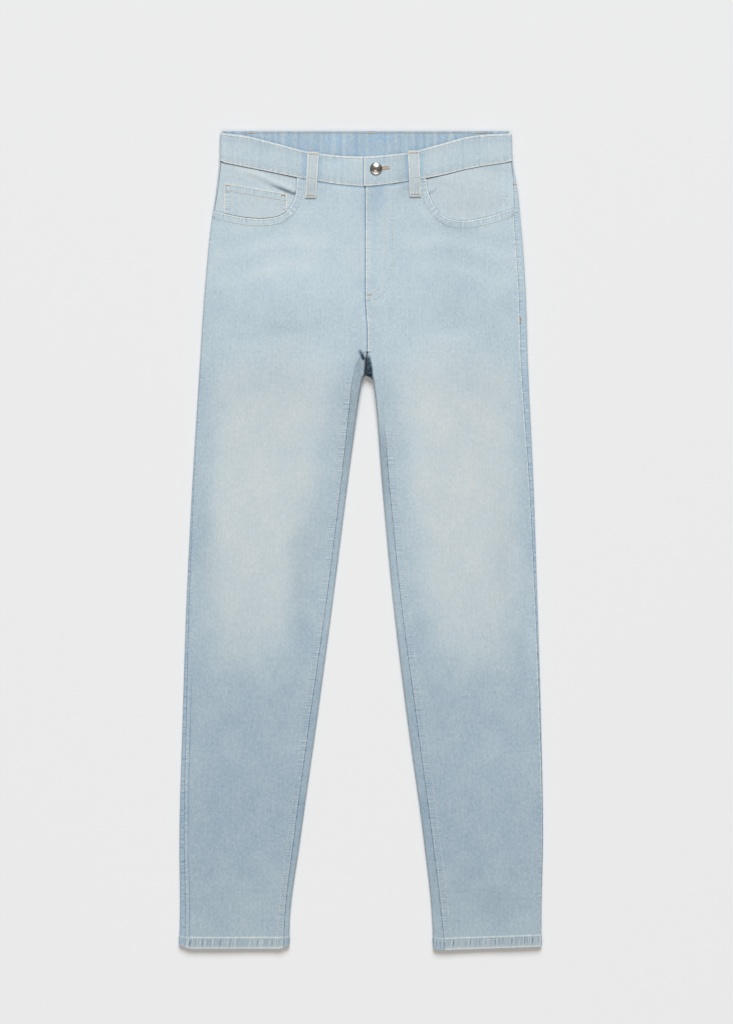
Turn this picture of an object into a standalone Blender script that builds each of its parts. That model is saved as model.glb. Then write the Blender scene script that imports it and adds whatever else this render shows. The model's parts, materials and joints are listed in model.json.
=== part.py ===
"""Mom jeans lying flat, front up: every cut piece is its own closed cloth wall.

Sizes are in millimetres and turn into metres where a mesh is made.
X runs to the wearer's left, +Y to the waist, +Z up from the surface that the jeans lie on.
Depth is the distance down from the back waist edge, so it falls along Y.
"""

from math import acos, cos, hypot, pi, sin

import bmesh
import bpy
import numpy as np

MM = 0.001

# Cloth
CLOTH = 1.3
FACING_CLOTH = 1.1
COIN_CLOTH = 1.0
BAND_CLOTH = 2.0
LOOP_CLOTH = 1.6
BACK_TRIM = 1.5
SEAM_GAP = 0.3
LAYER_GAP = 0.3

# Lie of the flattened tubes
TUBE_HEIGHT = 6.4
FOLD_RADIUS = TUBE_HEIGHT / 2
QUARTER = FOLD_RADIUS * pi / 2
CENTRE = 6.0

# Lift of the underside over the surface
LIFT = (
    # depth, lift
    (0, BACK_TRIM + LAYER_GAP),
    (266, BACK_TRIM + LAYER_GAP),
    (290, 1.0),
    (322, 0.0),
    (960, 0.0),
    (1003, 0.6),
    (1030, 0.6),
)

# Outer edges, with the plan distance from the edge to the side seam on the upper face
SIDES = (
    # depth, right edge, left edge, right seam in, left seam in
    (0, -176.0, 188.0, 0.6, 0.8),
    (40, -177.0, 190.0, 0.6, 0.9),
    (75, -181.0, 196.0, 0.7, 5.0),
    (110, -186.5, 199.5, 0.8, 8.0),
    (185, -194.0, 205.0, 1.0, 8.6),
    (285, -201.0, 208.5, 1.2, 8.6),
    (435, -210.5, 215.5, 2.2, 5.5),
    (585, -218.0, 220.5, 3.5, 3.0),
    (735, -223.0, 225.0, 4.7, 1.6),
    (885, -227.0, 227.5, 6.0, 1.0),
    (985, -226.5, 225.5, 7.0, 0.9),
    (1022, -227.5, 225.5, 7.3, 0.9),
)

# Inner edges below the crotch, with the inseams on the upper face
INNERS = (
    # depth, right edge, left edge, right inseam, left inseam
    (277, 1.0, 15.0, 1.0, 11.0),
    (284, 1.5, 15.0, -3.0, 15.5),
    (295, 2.0, 15.0, -7.0, 20.0),
    (309, 1.5, 15.0, -10.5, 23.5),
    (335, -2.5, 18.0, -13.5, 26.5),
    (435, -16.0, 26.0, -24.5, 35.0),
    (585, -35.0, 40.0, -43.0, 50.0),
    (735, -55.0, 58.0, -64.0, 69.5),
    (885, -76.0, 78.5, -84.0, 89.5),
    (985, -89.0, 89.0, -95.5, 101.5),
    (1022, -90.0, 90.5, -97.0, 105.0),
)

# Waistband edges across the front
WAIST = (
    # x, upper edge, seam to the fronts
    (-178, 2.5, 38.0),
    (-144, 6.5, 45.0),
    (-109, 15.0, 52.0),
    (-66, 26.0, 60.5),
    (-20, 31.5, 67.5),
    (6, 32.0, 69.0),
    (30, 30.5, 67.0),
    (59, 27.0, 62.5),
    (100, 16.5, 55.5),
    (131, 8.0, 48.0),
    (191, 3.0, 38.0),
)
BACK_BAND_HEIGHT = 38.0

# Curved mouths of the front pockets, from the waistband to the side seam
MOUTHS = {
    "right": (
        # x, depth
        (-80, 57),
        (-82, 81),
        (-86.5, 92),
        (-92, 99.5),
        (-99, 105),
        (-117, 109.5),
        (-141, 109),
        (-186, 100),
    ),
    "left": (
        # x, depth
        (81, 58),
        (85, 79),
        (90.5, 92),
        (97, 101),
        (106, 108),
        (127, 112.5),
        (150, 109.5),
        (197, 95),
    ),
}
MOUTH_STEEP = 4
MOUTH_LIFT = 0.4
MOUTH_CENTRE_DEPTH = 124.0

# Pocket facings and the coin pocket
FACING_END = 62.0
FACING_DEPTH = 136.0
FACING_INSET = CLOTH + LAYER_GAP
FACING_SHARES = (0.0, 0.07, 0.14, 0.22, 0.32, 0.5, 0.75, 1.0)
FACING_COLUMNS = 8
COIN_ROWS, COIN_COLUMNS = 3, 9
COIN_RIGHT, COIN_LEFT = -171.0, -92.0
COIN_TOP_RIGHT, COIN_TOP_LEFT = 65.0, 78.5
COIN_CLEAR = 1.0
CREASE_FROM = (-153.0, 47.0)
CREASE_TO = (-84.0, 73.0)
CREASE_HEIGHT, CREASE_WIDTH = 0.8, 6.0
CREASE_START, CREASE_STOP = 20.0, 6.0

# Fly: the left front laps over the right one
FLY_UNDERLAP = 5.6
FLY_BOTTOM = 206.0
FLY_CLOSED = 214.0
FLY_FLAT = 236.0
FLY_WIDTH = 33.0
FLY_LIFT = 0.9
FLY_DIP = 0.8
FLY_DIP_FROM, FLY_DIP_TO = 14.0, 2.0
FLY_SLOPE = 5.0

# Waistband ends and the button that joins them
BAND_END = 3.75
BAND_UNDERLAP = 38.0
BAND_LIFT = 0.8
BAND_DIP = 1.5
BAND_LIFT_HELD, BAND_LIFT_GONE = 40.0, 52.0
BUTTONHOLE_FROM, BUTTONHOLE_TO = 15.8, 34.0
BUTTONHOLE_SHARES = (0.392, 0.492)
BUTTON_X, BUTTON_DEPTH = 18.8, 47.6
BUTTON_RADIUS, BUTTON_HEIGHT = 7.8, 3.2
BUTTON_STEM_RADIUS = 1.4
BUTTON_STEPS = 28

# Belt loops
LOOP_WIDTH = 14.0
LOOP_LENGTH = 57.5
LOOP_BULGE = 0.9
LOOP_OVER = 0.8
FRONT_LOOP_ROWS, BACK_LOOP_ROWS = 8, 4
FRONT_LOOPS = {
    # name: x at the top, x at the bottom
    "belt_loop_front_right": (-59.5, -63.0),
    "belt_loop_front_left": (65.5, 68.0),
}
BACK_LOOPS = {
    # name: x
    "belt_loop_back_right": -138.0,
    "belt_loop_back_centre": 12.0,
    "belt_loop_back_left": 150.0,
}

# Back yokes and pockets
YOKE_CENTRE_DEPTH, YOKE_SIDE_DEPTH = 112.0, 72.0
BACK_POCKET_OUT = 94.0
BACK_POCKET_TOP, BACK_POCKET_HEIGHT, BACK_POCKET_POINT = 116.0, 122.0, 22.0
BACK_POCKET_WIDTH, BACK_POCKET_FOOT = 142.0, 122.0
BACK_POCKET_ROWS, BACK_POCKET_COLUMNS = 5, 3

# Crotch, where the legs' inner folds meet in a hollow
CROTCH = 276.0
HOLLOW = (
    # depth, half width, floor under the upper face
    (277, 1.9, 1.9),
    (284, 4.3, 2.6),
    (295, 6.0, 3.3),
    (303, 6.2, 3.5),
)
HOLLOW_END = 303.0
LIP_CORNER = 0.4
LIP_RIM = 0.8
LIP_FLAT = 1.2

# Hems
HEM_TOP = 1007.5
HEM_STEP = 0.6
HEM_LIFT = 0.6
HEM_RIGHT, HEM_LEFT = 1021.0, 1022.0

# Rows of the panels' grids: the fly's rows are only on the fronts
FLY_ROWS = (FLY_CLOSED, 224)
TORSO_ROWS = (140, 172, 202, *FLY_ROWS, 236, 256, CROTCH)
CROTCH_ROWS = (277, 284, 295, 303, 309, 320, 335, 370)
LEG_ROWS = (*CROTCH_ROWS, 420, 470, 520, 570, 620, 670, 720, 770, 820, 870, 920, 965, 1003)
BELOW_YOKE_SHARE = 0.42

# Columns of the backs' grids: round the side fold, under the leg, round the inner fold
SIDE_CELLS, UNDER_CELLS, INNER_CELLS = 7, 6, 7
NOSE_FLAT = 7.0

# Distances from the side seam of the columns that follow its fold
FOLD_COLUMNS = (0.0, 1.7, 3.4, 8.0)

# Columns of the fronts: shares of the width, then distances from the inner end
RIGHT_FRACTIONS = (0.10, 0.18, 0.26, 0.35, 0.437, 0.6, 0.75)
RIGHT_OFFSETS = (19.6, 7.6, 0.0)
LEFT_FRACTIONS = (0.10, 0.19, 0.28, 0.38, 0.48, 0.66)
LEFT_OFFSETS = (38.5, 33.0, 16.0, 0.0)
MOUTH_COLUMN = 8

DENIM = (0.50, 0.60, 0.65)
DENIM_PALE = (0.55, 0.61, 0.64)
DENIM_DEEP = (0.42, 0.52, 0.58)
NICKEL = (0.42, 0.40, 0.38)


def read(table, column, at):
    """A smooth curve through one column of a table, read at one place of its first column."""
    places = np.array([row[0] for row in table], float)
    values = np.array([row[column] for row in table], float)
    slopes = np.gradient(values, places)
    at = float(np.clip(at, places[0], places[-1]))
    k = min(int(np.searchsorted(places, at, side="right")) - 1, len(places) - 2)
    span = places[k + 1] - places[k]
    t = (at - places[k]) / span
    start = (2 * t**3 - 3 * t**2 + 1) * values[k] + (t**3 - 2 * t**2 + t) * span * slopes[k]
    end = (3 * t**2 - 2 * t**3) * values[k + 1] + (t**3 - t**2) * span * slopes[k + 1]
    return float(start + end)


def ramp(value, start, end):
    """Soft step from 0 at start to 1 at end."""
    t = min(max((value - start) / (end - start), 0.0), 1.0)
    return t * t * (3 - 2 * t)


def lift(depth):
    return float(np.interp(depth, [row[0] for row in LIFT], [row[1] for row in LIFT]))


def top(depth):
    return lift(depth) + TUBE_HEIGHT


class Side:
    """One side of the jeans: sign is -1 on the wearer's right and 1 on the left."""

    def __init__(self, name):
        self.name = name
        self.sign = -1 if name == "right" else 1
        self.column = 1 if name == "right" else 2
        self.mouth = mouth_path(MOUTHS[name])
        self.hem = HEM_RIGHT if name == "right" else HEM_LEFT

    def edge(self, depth):
        return read(SIDES, self.column, depth)

    def inner_edge(self, depth):
        return read(INNERS, self.column, depth)

    def inseam(self, depth):
        return read(INNERS, self.column + 2, depth)

    def seam_arc(self, depth):
        """Arc from the outermost point of the side fold, up and over, to the side seam."""
        inward = read(SIDES, self.column + 2, depth)
        if inward < FOLD_RADIUS:
            return FOLD_RADIUS * acos(1 - inward / FOLD_RADIUS)
        return QUARTER + inward - FOLD_RADIUS

    def round_side(self, depth, arc, inset):
        """Point at an arc from the outermost point of the side fold, positive over the top."""
        return round_fold(self.edge(depth), -self.sign, depth, arc, inset)

    def arc_at(self, depth, x):
        """Arc of a place on the upper flat."""
        return QUARTER + abs(x - self.edge(depth)) - FOLD_RADIUS

    def mouth_depth(self, x):
        order = np.argsort(self.mouth[:, 0])
        return float(np.interp(x, self.mouth[order, 0], self.mouth[order, 1]))


def mouth_path(points):
    """Dense smooth path through a pocket mouth's points."""
    points = np.array(points, float)
    places = np.concatenate([[0], np.cumsum(np.hypot(*np.diff(points, axis=0).T))])
    rows = [(place, *point) for place, point in zip(places, points)]
    steps = np.linspace(0, places[-1], 120)
    return np.array([(read(rows, 1, s), read(rows, 2, s)) for s in steps])


def round_fold(edge, inward, depth, arc, inset):
    turn = min(max(arc / FOLD_RADIUS, -pi / 2), pi / 2)
    beyond = max(0.0, abs(arc) - QUARTER)
    radius = FOLD_RADIUS - inset
    x = edge + inward * (FOLD_RADIUS - radius * cos(turn) + beyond)
    return x, lift(depth) + FOLD_RADIUS + radius * sin(turn)


def surface(name, colour, roughness, metallic):
    material = bpy.data.materials.new(name)
    material.use_nodes = True
    shader = material.node_tree.nodes["Principled BSDF"]
    shader.inputs["Base Color"].default_value = (*colour, 1.0)
    shader.inputs["Roughness"].default_value = roughness
    shader.inputs["Metallic"].default_value = metallic
    return material


def denim(name, colour):
    return surface(name, colour, 0.92, 0.0)


def place(x, depth, z):
    return (x * MM, -depth * MM, z * MM)


def finish(name, bm, material):
    """Turn a bmesh into a named object with its faces pointing out."""
    bmesh.ops.recalc_face_normals(bm, faces=bm.faces)
    mesh = bpy.data.meshes.new(name)
    bm.to_mesh(mesh)
    bm.free()
    mesh.materials.append(material)
    mesh.shade_smooth()
    mesh.set_sharp_from_angle(angle=pi / 5)
    thing = bpy.data.objects.new(name, mesh)
    bpy.context.scene.collection.objects.link(thing)
    return thing


def cloth(name, outer, inner, material, absent=()):
    """Closed wall between two grids of points, rows by columns, without the absent cells."""
    rows, columns = len(outer), len(outer[0])
    bm = bmesh.new()
    bmesh.ops.create_grid(bm, x_segments=columns - 1, y_segments=rows - 1, size=0.5)
    cell = bm.verts.layers.int.new("cell")
    bm.verts.ensure_lookup_table()
    for index, vertex in enumerate(bm.verts):
        vertex[cell] = index
        vertex.co = place(*outer[index // columns][index % columns])
    absent = {row * (columns - 1) + column for row, column in absent}
    bm.faces.ensure_lookup_table()
    gone = [face for index, face in enumerate(bm.faces) if index in absent]
    bmesh.ops.delete(bm, geom=gone, context="FACES")
    made = bmesh.ops.extrude_face_region(bm, geom=bm.faces[:], use_keep_orig=True)
    for vertex in made["geom"]:
        if isinstance(vertex, bmesh.types.BMVert):
            index = vertex[cell]
            vertex.co = place(*inner[index // columns][index % columns])
    return finish(name, bm, material)


def front_columns(side, depth, end, fractions, offsets):
    """Arcs across a front from its side seam to its inner end, in one row."""
    start = side.seam_arc(depth) + SEAM_GAP / 2
    stop = side.arc_at(depth, end)
    near = [start + step for step in FOLD_COLUMNS]
    middle = [start + (stop - start) * f for f in fractions]
    return near + middle + [stop - offset for offset in offsets]


def front(side, fractions, offsets, corner, material):
    """Front of one leg: cut away above the pocket mouth, then down to the turned hem."""
    right = side.name == "right"

    def inner_end(depth):
        if depth > CROTCH:
            return side.inseam(depth) + side.sign * SEAM_GAP / 2
        if right:
            lap = FLY_UNDERLAP * (1 - ramp(depth, FLY_BOTTOM, FLY_CLOSED))
            return CENTRE - SEAM_GAP / 2 + lap
        return CENTRE + SEAM_GAP / 2

    def fly(x, depth):
        """Dip of the right front under the fly, or lift of the left front at the fly."""
        fade = 1 - ramp(depth, FLY_CLOSED, FLY_FLAT)
        if right:
            return -FLY_DIP * ramp(x, CENTRE - FLY_DIP_FROM, CENTRE - FLY_DIP_TO) * fade
        edge = CENTRE + FLY_WIDTH
        return FLY_LIFT * (1 - ramp(x, edge, edge + FLY_SLOPE)) * fade

    def point(arc, depth, inset, raised):
        x, z = side.round_side(depth, arc, inset)
        return x, depth, z + fly(x, depth) + (raised if inset <= 0 else 0.0)

    def level(depth, inset):
        arcs = front_columns(side, depth, inner_end(depth), fractions, offsets)
        return [point(arc, depth, inset, 0.0) for arc in arcs]

    def pocket_row(inset):
        arcs = front_columns(side, MOUTH_CENTRE_DEPTH, inner_end(MOUTH_CENTRE_DEPTH), fractions, offsets)
        row = []
        for index, arc in enumerate(arcs):
            x = side.round_side(MOUTH_CENTRE_DEPTH, arc, 0.0)[0]
            if index <= corner:
                depth = side.mouth_depth(x)
                if index < len(FOLD_COLUMNS) - 1:
                    arc += side.seam_arc(depth) - side.seam_arc(MOUTH_CENTRE_DEPTH)
                row.append(point(arc, depth, inset, MOUTH_LIFT))
            else:
                row.append(point(arc, middle_depth(x), inset, 0.0))
        return row

    def middle_depth(x):
        """Depth of the pocket row between the mouth's corner and the centre."""
        corner_x, corner_depth = MOUTHS[side.name][MOUTH_STEEP]
        share = (x - corner_x) / (CENTRE - corner_x)
        return corner_depth + (MOUTH_CENTRE_DEPTH - corner_depth) * min(share, 1.0)

    def upper_row(step, inset, below):
        """A row between the waistband and the pocket row, ending on the mouth's steep part."""
        mouth_x, mouth_depth = MOUTHS[side.name][step]
        seam = read(WAIST, 2, mouth_x) + SEAM_GAP
        share = 0.0 if step == 0 else (mouth_depth - seam) / (middle_depth(mouth_x) - seam)
        corner_x, end_x = below[corner][0], below[-1][0]
        row = []
        for index, (x, _, _) in enumerate(below):
            along = max((x - corner_x) / (end_x - corner_x), 0.0)
            x = mouth_x + (end_x - mouth_x) * along
            seam = read(WAIST, 2, x) + SEAM_GAP
            depth = seam + (middle_depth(x) - seam) * share
            raised = MOUTH_LIFT if index == corner else 0.0
            row.append(point(side.arc_at(depth, x), depth, inset, raised))
        return row

    depths = [*TORSO_ROWS, *LEG_ROWS]
    grids = []
    for inset, hem in ((0.0, -HEM_LIFT), (CLOTH, CLOTH + HEM_LIFT)):
        pocket = pocket_row(inset)
        grid = [upper_row(step, inset, pocket) for step in range(MOUTH_STEEP)] + [pocket]
        grid += [level(depth, inset) for depth in depths]
        grid += [level(HEM_TOP, inset), level(HEM_TOP + HEM_STEP, hem), level(side.hem, hem)]
        grids.append(grid)
    absent = [(row, column) for row in range(MOUTH_STEEP) for column in range(corner)]
    return cloth(f"front_{side.name}", *grids, material, absent)


def back_arcs(side, depth):
    """Arcs from the side seam round the side fold to the start of the underside's flat."""
    start = side.seam_arc(depth) - SEAM_GAP / 2
    return [start + (-QUARTER - start) * k / SIDE_CELLS for k in range(SIDE_CELLS + 1)]


def under_row(side, depth_of, inset, end):
    """Points round the side fold and along the underside as far as end."""
    row = []
    first = depth_of(side.edge(YOKE_SIDE_DEPTH))
    for arc in back_arcs(side, first):
        x, z = side.round_side(first, arc, inset)
        row.append((x, first, z))
    start = row[-1][0]
    for k in range(1, UNDER_CELLS + 1):
        x = start + (end - start) * k / UNDER_CELLS
        depth = depth_of(x)
        row.append((x, depth, lift(depth) + inset))
    return row


def inner_row(side, depth, inset):
    """Points round the inner fold of a leg, from the underside up to the inseam."""
    seam = side.inseam(depth) - side.sign * SEAM_GAP / 2
    low, high = lift(depth) + inset, top(depth) - inset
    if depth <= HOLLOW_END:
        nose = CENTRE + side.sign * (SEAM_GAP / 2 + inset)
        half = read(HOLLOW, 1, depth)
        floor = top(depth) - read(HOLLOW, 2, depth) - inset
        out = side.sign
        rim = nose + out * (half + LIP_FLAT)
        return [
            (nose + out * NOSE_FLAT, depth, low),
            (nose + out * LIP_CORNER, depth, low),
            (nose, depth, low + (floor - low) * 0.35),
            (nose, depth, low + (floor - low) * 0.75),
            (nose + out * (0.3 * half + LIP_CORNER / 2), depth, floor),
            (nose + out * (0.8 * half + LIP_CORNER), depth, floor + (high - floor) * 0.35),
            (nose + out * (half + LIP_RIM), depth, high - (high - floor) * 0.1),
            (min(seam, rim) if out < 0 else max(seam, rim), depth, high),
        ]
    edge = side.inner_edge(depth)
    end = QUARTER + abs(seam - edge) - FOLD_RADIUS
    row = []
    for k in range(INNER_CELLS + 1):
        arc = -QUARTER + (end + QUARTER) * k / INNER_CELLS
        x, z = round_fold(edge, side.sign, depth, arc, inset)
        row.append((x, depth, z))
    return row


def yoke_seam(side, x):
    share = (x - CENTRE) / (side.edge(YOKE_SIDE_DEPTH) - CENTRE)
    return YOKE_CENTRE_DEPTH + (YOKE_SIDE_DEPTH - YOKE_CENTRE_DEPTH) * min(max(share, 0.0), 1.0)


def back(side, material):
    """Back of one leg: underside, both folds, and the strip that shows inside the inseam."""
    torso = [depth for depth in TORSO_ROWS if depth not in FLY_ROWS]

    def below_yoke(share):
        return lambda x: yoke_seam(side, x) + (torso[0] - yoke_seam(side, x)) * share

    def torso_row(depth_of, inset):
        nose = CENTRE + side.sign * SEAM_GAP / 2
        row = under_row(side, depth_of, inset, nose + side.sign * NOSE_FLAT)
        depth = depth_of(nose)
        return row + [(nose, depth, lift(depth) + inset)] * INNER_CELLS

    def leg_row(depth, inset):
        inner = inner_row(side, depth, inset)
        return under_row(side, lambda x: depth, inset, inner[0][0]) + inner[1:]

    grids = []
    for inset, hem in ((0.0, -HEM_LIFT), (CLOTH, CLOTH + HEM_LIFT)):
        grid = [torso_row(lambda x: yoke_seam(side, x) + SEAM_GAP / 2, inset)]
        grid += [torso_row(below_yoke(BELOW_YOKE_SHARE), inset)]
        grid += [torso_row(lambda x, depth=depth: depth, inset) for depth in torso]
        grid += [leg_row(depth, inset) for depth in LEG_ROWS]
        grid += [leg_row(HEM_TOP, inset), leg_row(HEM_TOP + HEM_STEP, hem), leg_row(side.hem, hem)]
        grids.append(grid)
    open_column = SIDE_CELLS + UNDER_CELLS + 1
    columns = SIDE_CELLS + UNDER_CELLS + INNER_CELLS
    absent = [(row, column) for row in range(len(torso) + 2) for column in range(open_column, columns)]
    return cloth(f"back_{side.name}", *grids, material, absent)


def yoke(side, material):
    """Back yoke between the waistband and the back, deepest at the centre back seam."""
    grids = []
    for inset in (0.0, CLOTH):
        grid = []
        for share in (0.0, 0.5, 1.0):
            def depth_of(x, share=share):
                above = BACK_BAND_HEIGHT + SEAM_GAP
                return above + (yoke_seam(side, x) - SEAM_GAP / 2 - above) * share
            grid.append(under_row(side, depth_of, inset, CENTRE + side.sign * SEAM_GAP / 2))
        grids.append(grid)
    return cloth(f"yoke_{side.name}", *grids, material)


def crease(x, depth):
    """Soft diagonal crease on the right facing, fading out at both ends."""
    (x0, d0), (x1, d1) = CREASE_FROM, CREASE_TO
    length = hypot(x1 - x0, d1 - d0)
    along = ((x - x0) * (x1 - x0) + (depth - d0) * (d1 - d0)) / length
    across = ((depth - d0) * (x1 - x0) - (x - x0) * (d1 - d0)) / length
    ends = ramp(along, 0, CREASE_START) * (1 - ramp(along, length - CREASE_STOP, length))
    return CREASE_HEIGHT * ends * max(0.0, 1 - (across / CREASE_WIDTH) ** 2)


def facing(side, material):
    """Pocket facing: shows inside the mouth and runs on a little way under the front."""

    def point(share, step, column, inset):
        """Point in a row's fold columns, or at one of the even columns beyond them."""
        depth = BACK_BAND_HEIGHT + SEAM_GAP + (FACING_DEPTH - BACK_BAND_HEIGHT) * share
        start = side.seam_arc(depth) + SEAM_GAP / 2
        stop = side.arc_at(depth, side.sign * FACING_END)
        arc = start + step + (stop - start - step) * column / FACING_COLUMNS
        x = side.round_side(depth, arc, 0.0)[0]
        above = read(WAIST, 2, x) + SEAM_GAP
        depth = above + (FACING_DEPTH - above) * share
        x, z = side.round_side(depth, arc, inset)
        bump = crease(x, depth) if side.name == "right" else 0.0
        return x, depth, z + bump

    last = FOLD_COLUMNS[-1]
    columns = [(step, 0) for step in FOLD_COLUMNS]
    columns += [(last, column) for column in range(1, FACING_COLUMNS + 1)]
    grids = []
    for inset in (FACING_INSET, FACING_INSET + FACING_CLOTH):
        grids.append([[point(share, *column, inset) for column in columns] for share in FACING_SHARES])
    return cloth(f"pocket_facing_{side.name}", *grids, material)


def coin_pocket(side, material):
    """Small patch pocket on the right facing, cut off below where the front covers it."""
    grids = []
    for inset in (FACING_INSET - LAYER_GAP - COIN_CLOTH, FACING_INSET - LAYER_GAP):
        grid = []
        for row in range(COIN_ROWS + 1):
            points = []
            for column in range(COIN_COLUMNS + 1):
                across = column / COIN_COLUMNS
                x = COIN_RIGHT + (COIN_LEFT - COIN_RIGHT) * across
                above = COIN_TOP_RIGHT + (COIN_TOP_LEFT - COIN_TOP_RIGHT) * across
                below = side.mouth_depth(x) - COIN_CLEAR
                depth = above + (below - above) * row / COIN_ROWS
                points.append((x, depth, top(depth) - inset))
            grid.append(points)
        grids.append(grid)
    return cloth("coin_pocket", *grids, material)


def waistband(right, left, material):
    """Waistband in one piece: under end, right front, back, left front and over end."""
    shares = (0.0, 0.2, *BUTTONHOLE_SHARES, 0.75, 1.0)
    stations = [("under", x) for x in (BAND_UNDERLAP, 26, 14, CENTRE - 2, CENTRE - 7, CENTRE - 12)]
    stations += [("under", x) for x in (-20, -40, -66, -90, -115, -140, -160)]
    fold = [QUARTER * k / 3 for k in (3, 2, 1, 0, -1, -2, -3)]
    stations += [("right fold", arc) for arc in fold]
    stations += [("back", x) for x in (-150, -110, -60, CENTRE, 70, 120, 165)]
    stations += [("left fold", arc) for arc in reversed(fold)]
    stations += [("over", x) for x in (172, 150, 130, 110, 90, 70, 52, 46, 40)]
    stations += [("over", x) for x in (BUTTONHOLE_TO, BUTTONHOLE_FROM, 10, BAND_END)]
    hole = len(stations) - 4

    def point(kind, at, share, inset):
        if "fold" in kind:
            side = right if kind == "right fold" else left
            over = (1 + sin(at / FOLD_RADIUS)) / 2
            edge_top = read(WAIST, 1, side.edge(0.0)) * over
            depth = edge_top + (BACK_BAND_HEIGHT - edge_top) * share
            x, z = side.round_side(depth, at, inset)
            return x, depth, z
        if kind == "back":
            depth = BACK_BAND_HEIGHT * share
            return at, depth, lift(depth) + inset
        upper, lower = read(WAIST, 1, at), read(WAIST, 2, at)
        depth = upper + (lower - upper) * share
        if kind == "under":
            shift = -BAND_DIP * ramp(at, CENTRE - 12, CENTRE - 2)
        else:
            shift = BAND_LIFT * (1 - ramp(at, BAND_LIFT_HELD, BAND_LIFT_GONE))
        return at, depth, top(depth) - inset + shift

    grids = []
    for inset in (0.0, BAND_CLOTH):
        grids.append([[point(kind, at, share, inset) for kind, at in stations] for share in shares])
    return cloth("waistband", *grids, material, [(2, hole)])


def front_loop(name, upper_x, lower_x, material):
    """Belt loop on the front: tacked at the waistband's edge and below its seam."""
    start = read(WAIST, 1, upper_x) - LOOP_OVER
    grids = []
    for height in (LAYER_GAP + LOOP_CLOTH, LAYER_GAP):
        grid = []
        for row in range(FRONT_LOOP_ROWS + 1):
            share = row / FRONT_LOOP_ROWS
            depth = start + LOOP_LENGTH * share
            middle = upper_x + (lower_x - upper_x) * share
            bulge = LOOP_BULGE * sin(pi * share) ** 2
            z = top(depth) + height + bulge
            grid.append([(middle + LOOP_WIDTH * (k / 2 - 0.5), depth, z) for k in range(3)])
        grids.append(grid)
    return cloth(name, *grids, material)


def back_loop(name, x, material):
    """Belt loop under the back of the waistband, with its flat face on the surface."""
    grids = []
    for z in (0.0, BACK_TRIM):
        depths = [LOOP_LENGTH * row / BACK_LOOP_ROWS - LOOP_OVER for row in range(BACK_LOOP_ROWS + 1)]
        grids.append([[(x + LOOP_WIDTH * (k / 2 - 0.5), depth, z) for k in range(3)] for depth in depths])
    return cloth(name, *grids, material)


def back_pocket(side, material):
    """Patch pocket on the back, pointed at its foot, with its flat face on the surface."""
    grids = []
    for z in (0.0, BACK_TRIM):
        grid = []
        for row in range(BACK_POCKET_ROWS + 1):
            share = row / BACK_POCKET_ROWS
            half = (BACK_POCKET_WIDTH + (BACK_POCKET_FOOT - BACK_POCKET_WIDTH) * share) / 2
            points = []
            for column in range(2 * BACK_POCKET_COLUMNS + 1):
                across = column / BACK_POCKET_COLUMNS - 1
                depth = BACK_POCKET_TOP + BACK_POCKET_HEIGHT * share
                depth += BACK_POCKET_POINT * share * (1 - abs(across))
                points.append((CENTRE + side.sign * BACK_POCKET_OUT + half * across, depth, z))
            grid.append(points)
        grids.append(grid)
    return cloth(f"back_pocket_{side.name}", *grids, material)


def button(material):
    """Domed shank button: its stem stands on the under end and passes through the buttonhole."""
    band = top(BUTTON_DEPTH)
    foot = band - BAND_DIP + LAYER_GAP
    head = band + BAND_LIFT + LAYER_GAP
    rim = BUTTON_RADIUS
    profile = [
        # distance from the axis, height
        (0.0, foot),
        (BUTTON_STEM_RADIUS, foot),
        (BUTTON_STEM_RADIUS, head),
        (rim - 0.6, head),
        (rim, head + 0.7),
        (rim - 0.2, head + 1.5),
        (rim - 1.2, head + 2.2),
        (rim - 2.0, head + 2.1),
        (rim - 3.0, head + 2.6),
        (rim - 5.5, head + BUTTON_HEIGHT),
        (0.0, head + BUTTON_HEIGHT + 0.1),
    ]
    bm = bmesh.new()
    verts = [bm.verts.new(place(BUTTON_X + r, BUTTON_DEPTH, z)) for r, z in profile]
    edges = [bm.edges.new(pair) for pair in zip(verts, verts[1:])]
    bmesh.ops.spin(
        bm,
        geom=verts + edges,
        cent=place(BUTTON_X, BUTTON_DEPTH, 0.0),
        axis=(0.0, 0.0, 1.0),
        angle=2 * pi,
        steps=BUTTON_STEPS,
    )
    bmesh.ops.remove_doubles(bm, verts=bm.verts, dist=0.00001)
    return finish("button", bm, material)


def stand_on_origin(things):
    """Move every mesh so that the whole stands centred over the origin."""
    points = np.array([vertex.co for thing in things for vertex in thing.data.vertices])
    low, high = points.min(axis=0), points.max(axis=0)
    middle = (low + high) / 2
    for thing in things:
        for vertex in thing.data.vertices:
            vertex.co.x -= middle[0]
            vertex.co.y -= middle[1]
            vertex.co.z -= low[2]


def main():
    for thing in list(bpy.data.objects):
        bpy.data.objects.remove(thing, do_unlink=True)
    right, left = Side("right"), Side("left")
    leg = denim("denim", DENIM)
    pale = denim("denim_pale", DENIM_PALE)
    deep = denim("denim_deep", DENIM_DEEP)
    things = [
        front(right, RIGHT_FRACTIONS, RIGHT_OFFSETS, MOUTH_COLUMN, leg),
        front(left, LEFT_FRACTIONS, LEFT_OFFSETS, MOUTH_COLUMN, leg),
        waistband(right, left, pale),
        coin_pocket(right, pale),
        button(surface("nickel", NICKEL, 0.32, 1.0)),
    ]
    for side in (right, left):
        things.append(back(side, deep))
        things.append(yoke(side, deep))
        things.append(facing(side, pale))
        things.append(back_pocket(side, deep))
    for name, (upper_x, lower_x) in FRONT_LOOPS.items():
        things.append(front_loop(name, upper_x, lower_x, pale))
    for name, x in BACK_LOOPS.items():
        things.append(back_loop(name, x, deep))
    stand_on_origin(things)


main()
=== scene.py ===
"""Mom jeans laid flat, front up: the finished cloth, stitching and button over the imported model.

Sizes are in millimetres. Depth is the distance down from the back waist edge, and X runs to the wearer's left.
The file follows the jeans as they are sewn: fronts, backs, yokes, pockets, waistband, loops, button, stitching.
"""

import json
from math import hypot, pi, radians

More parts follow.
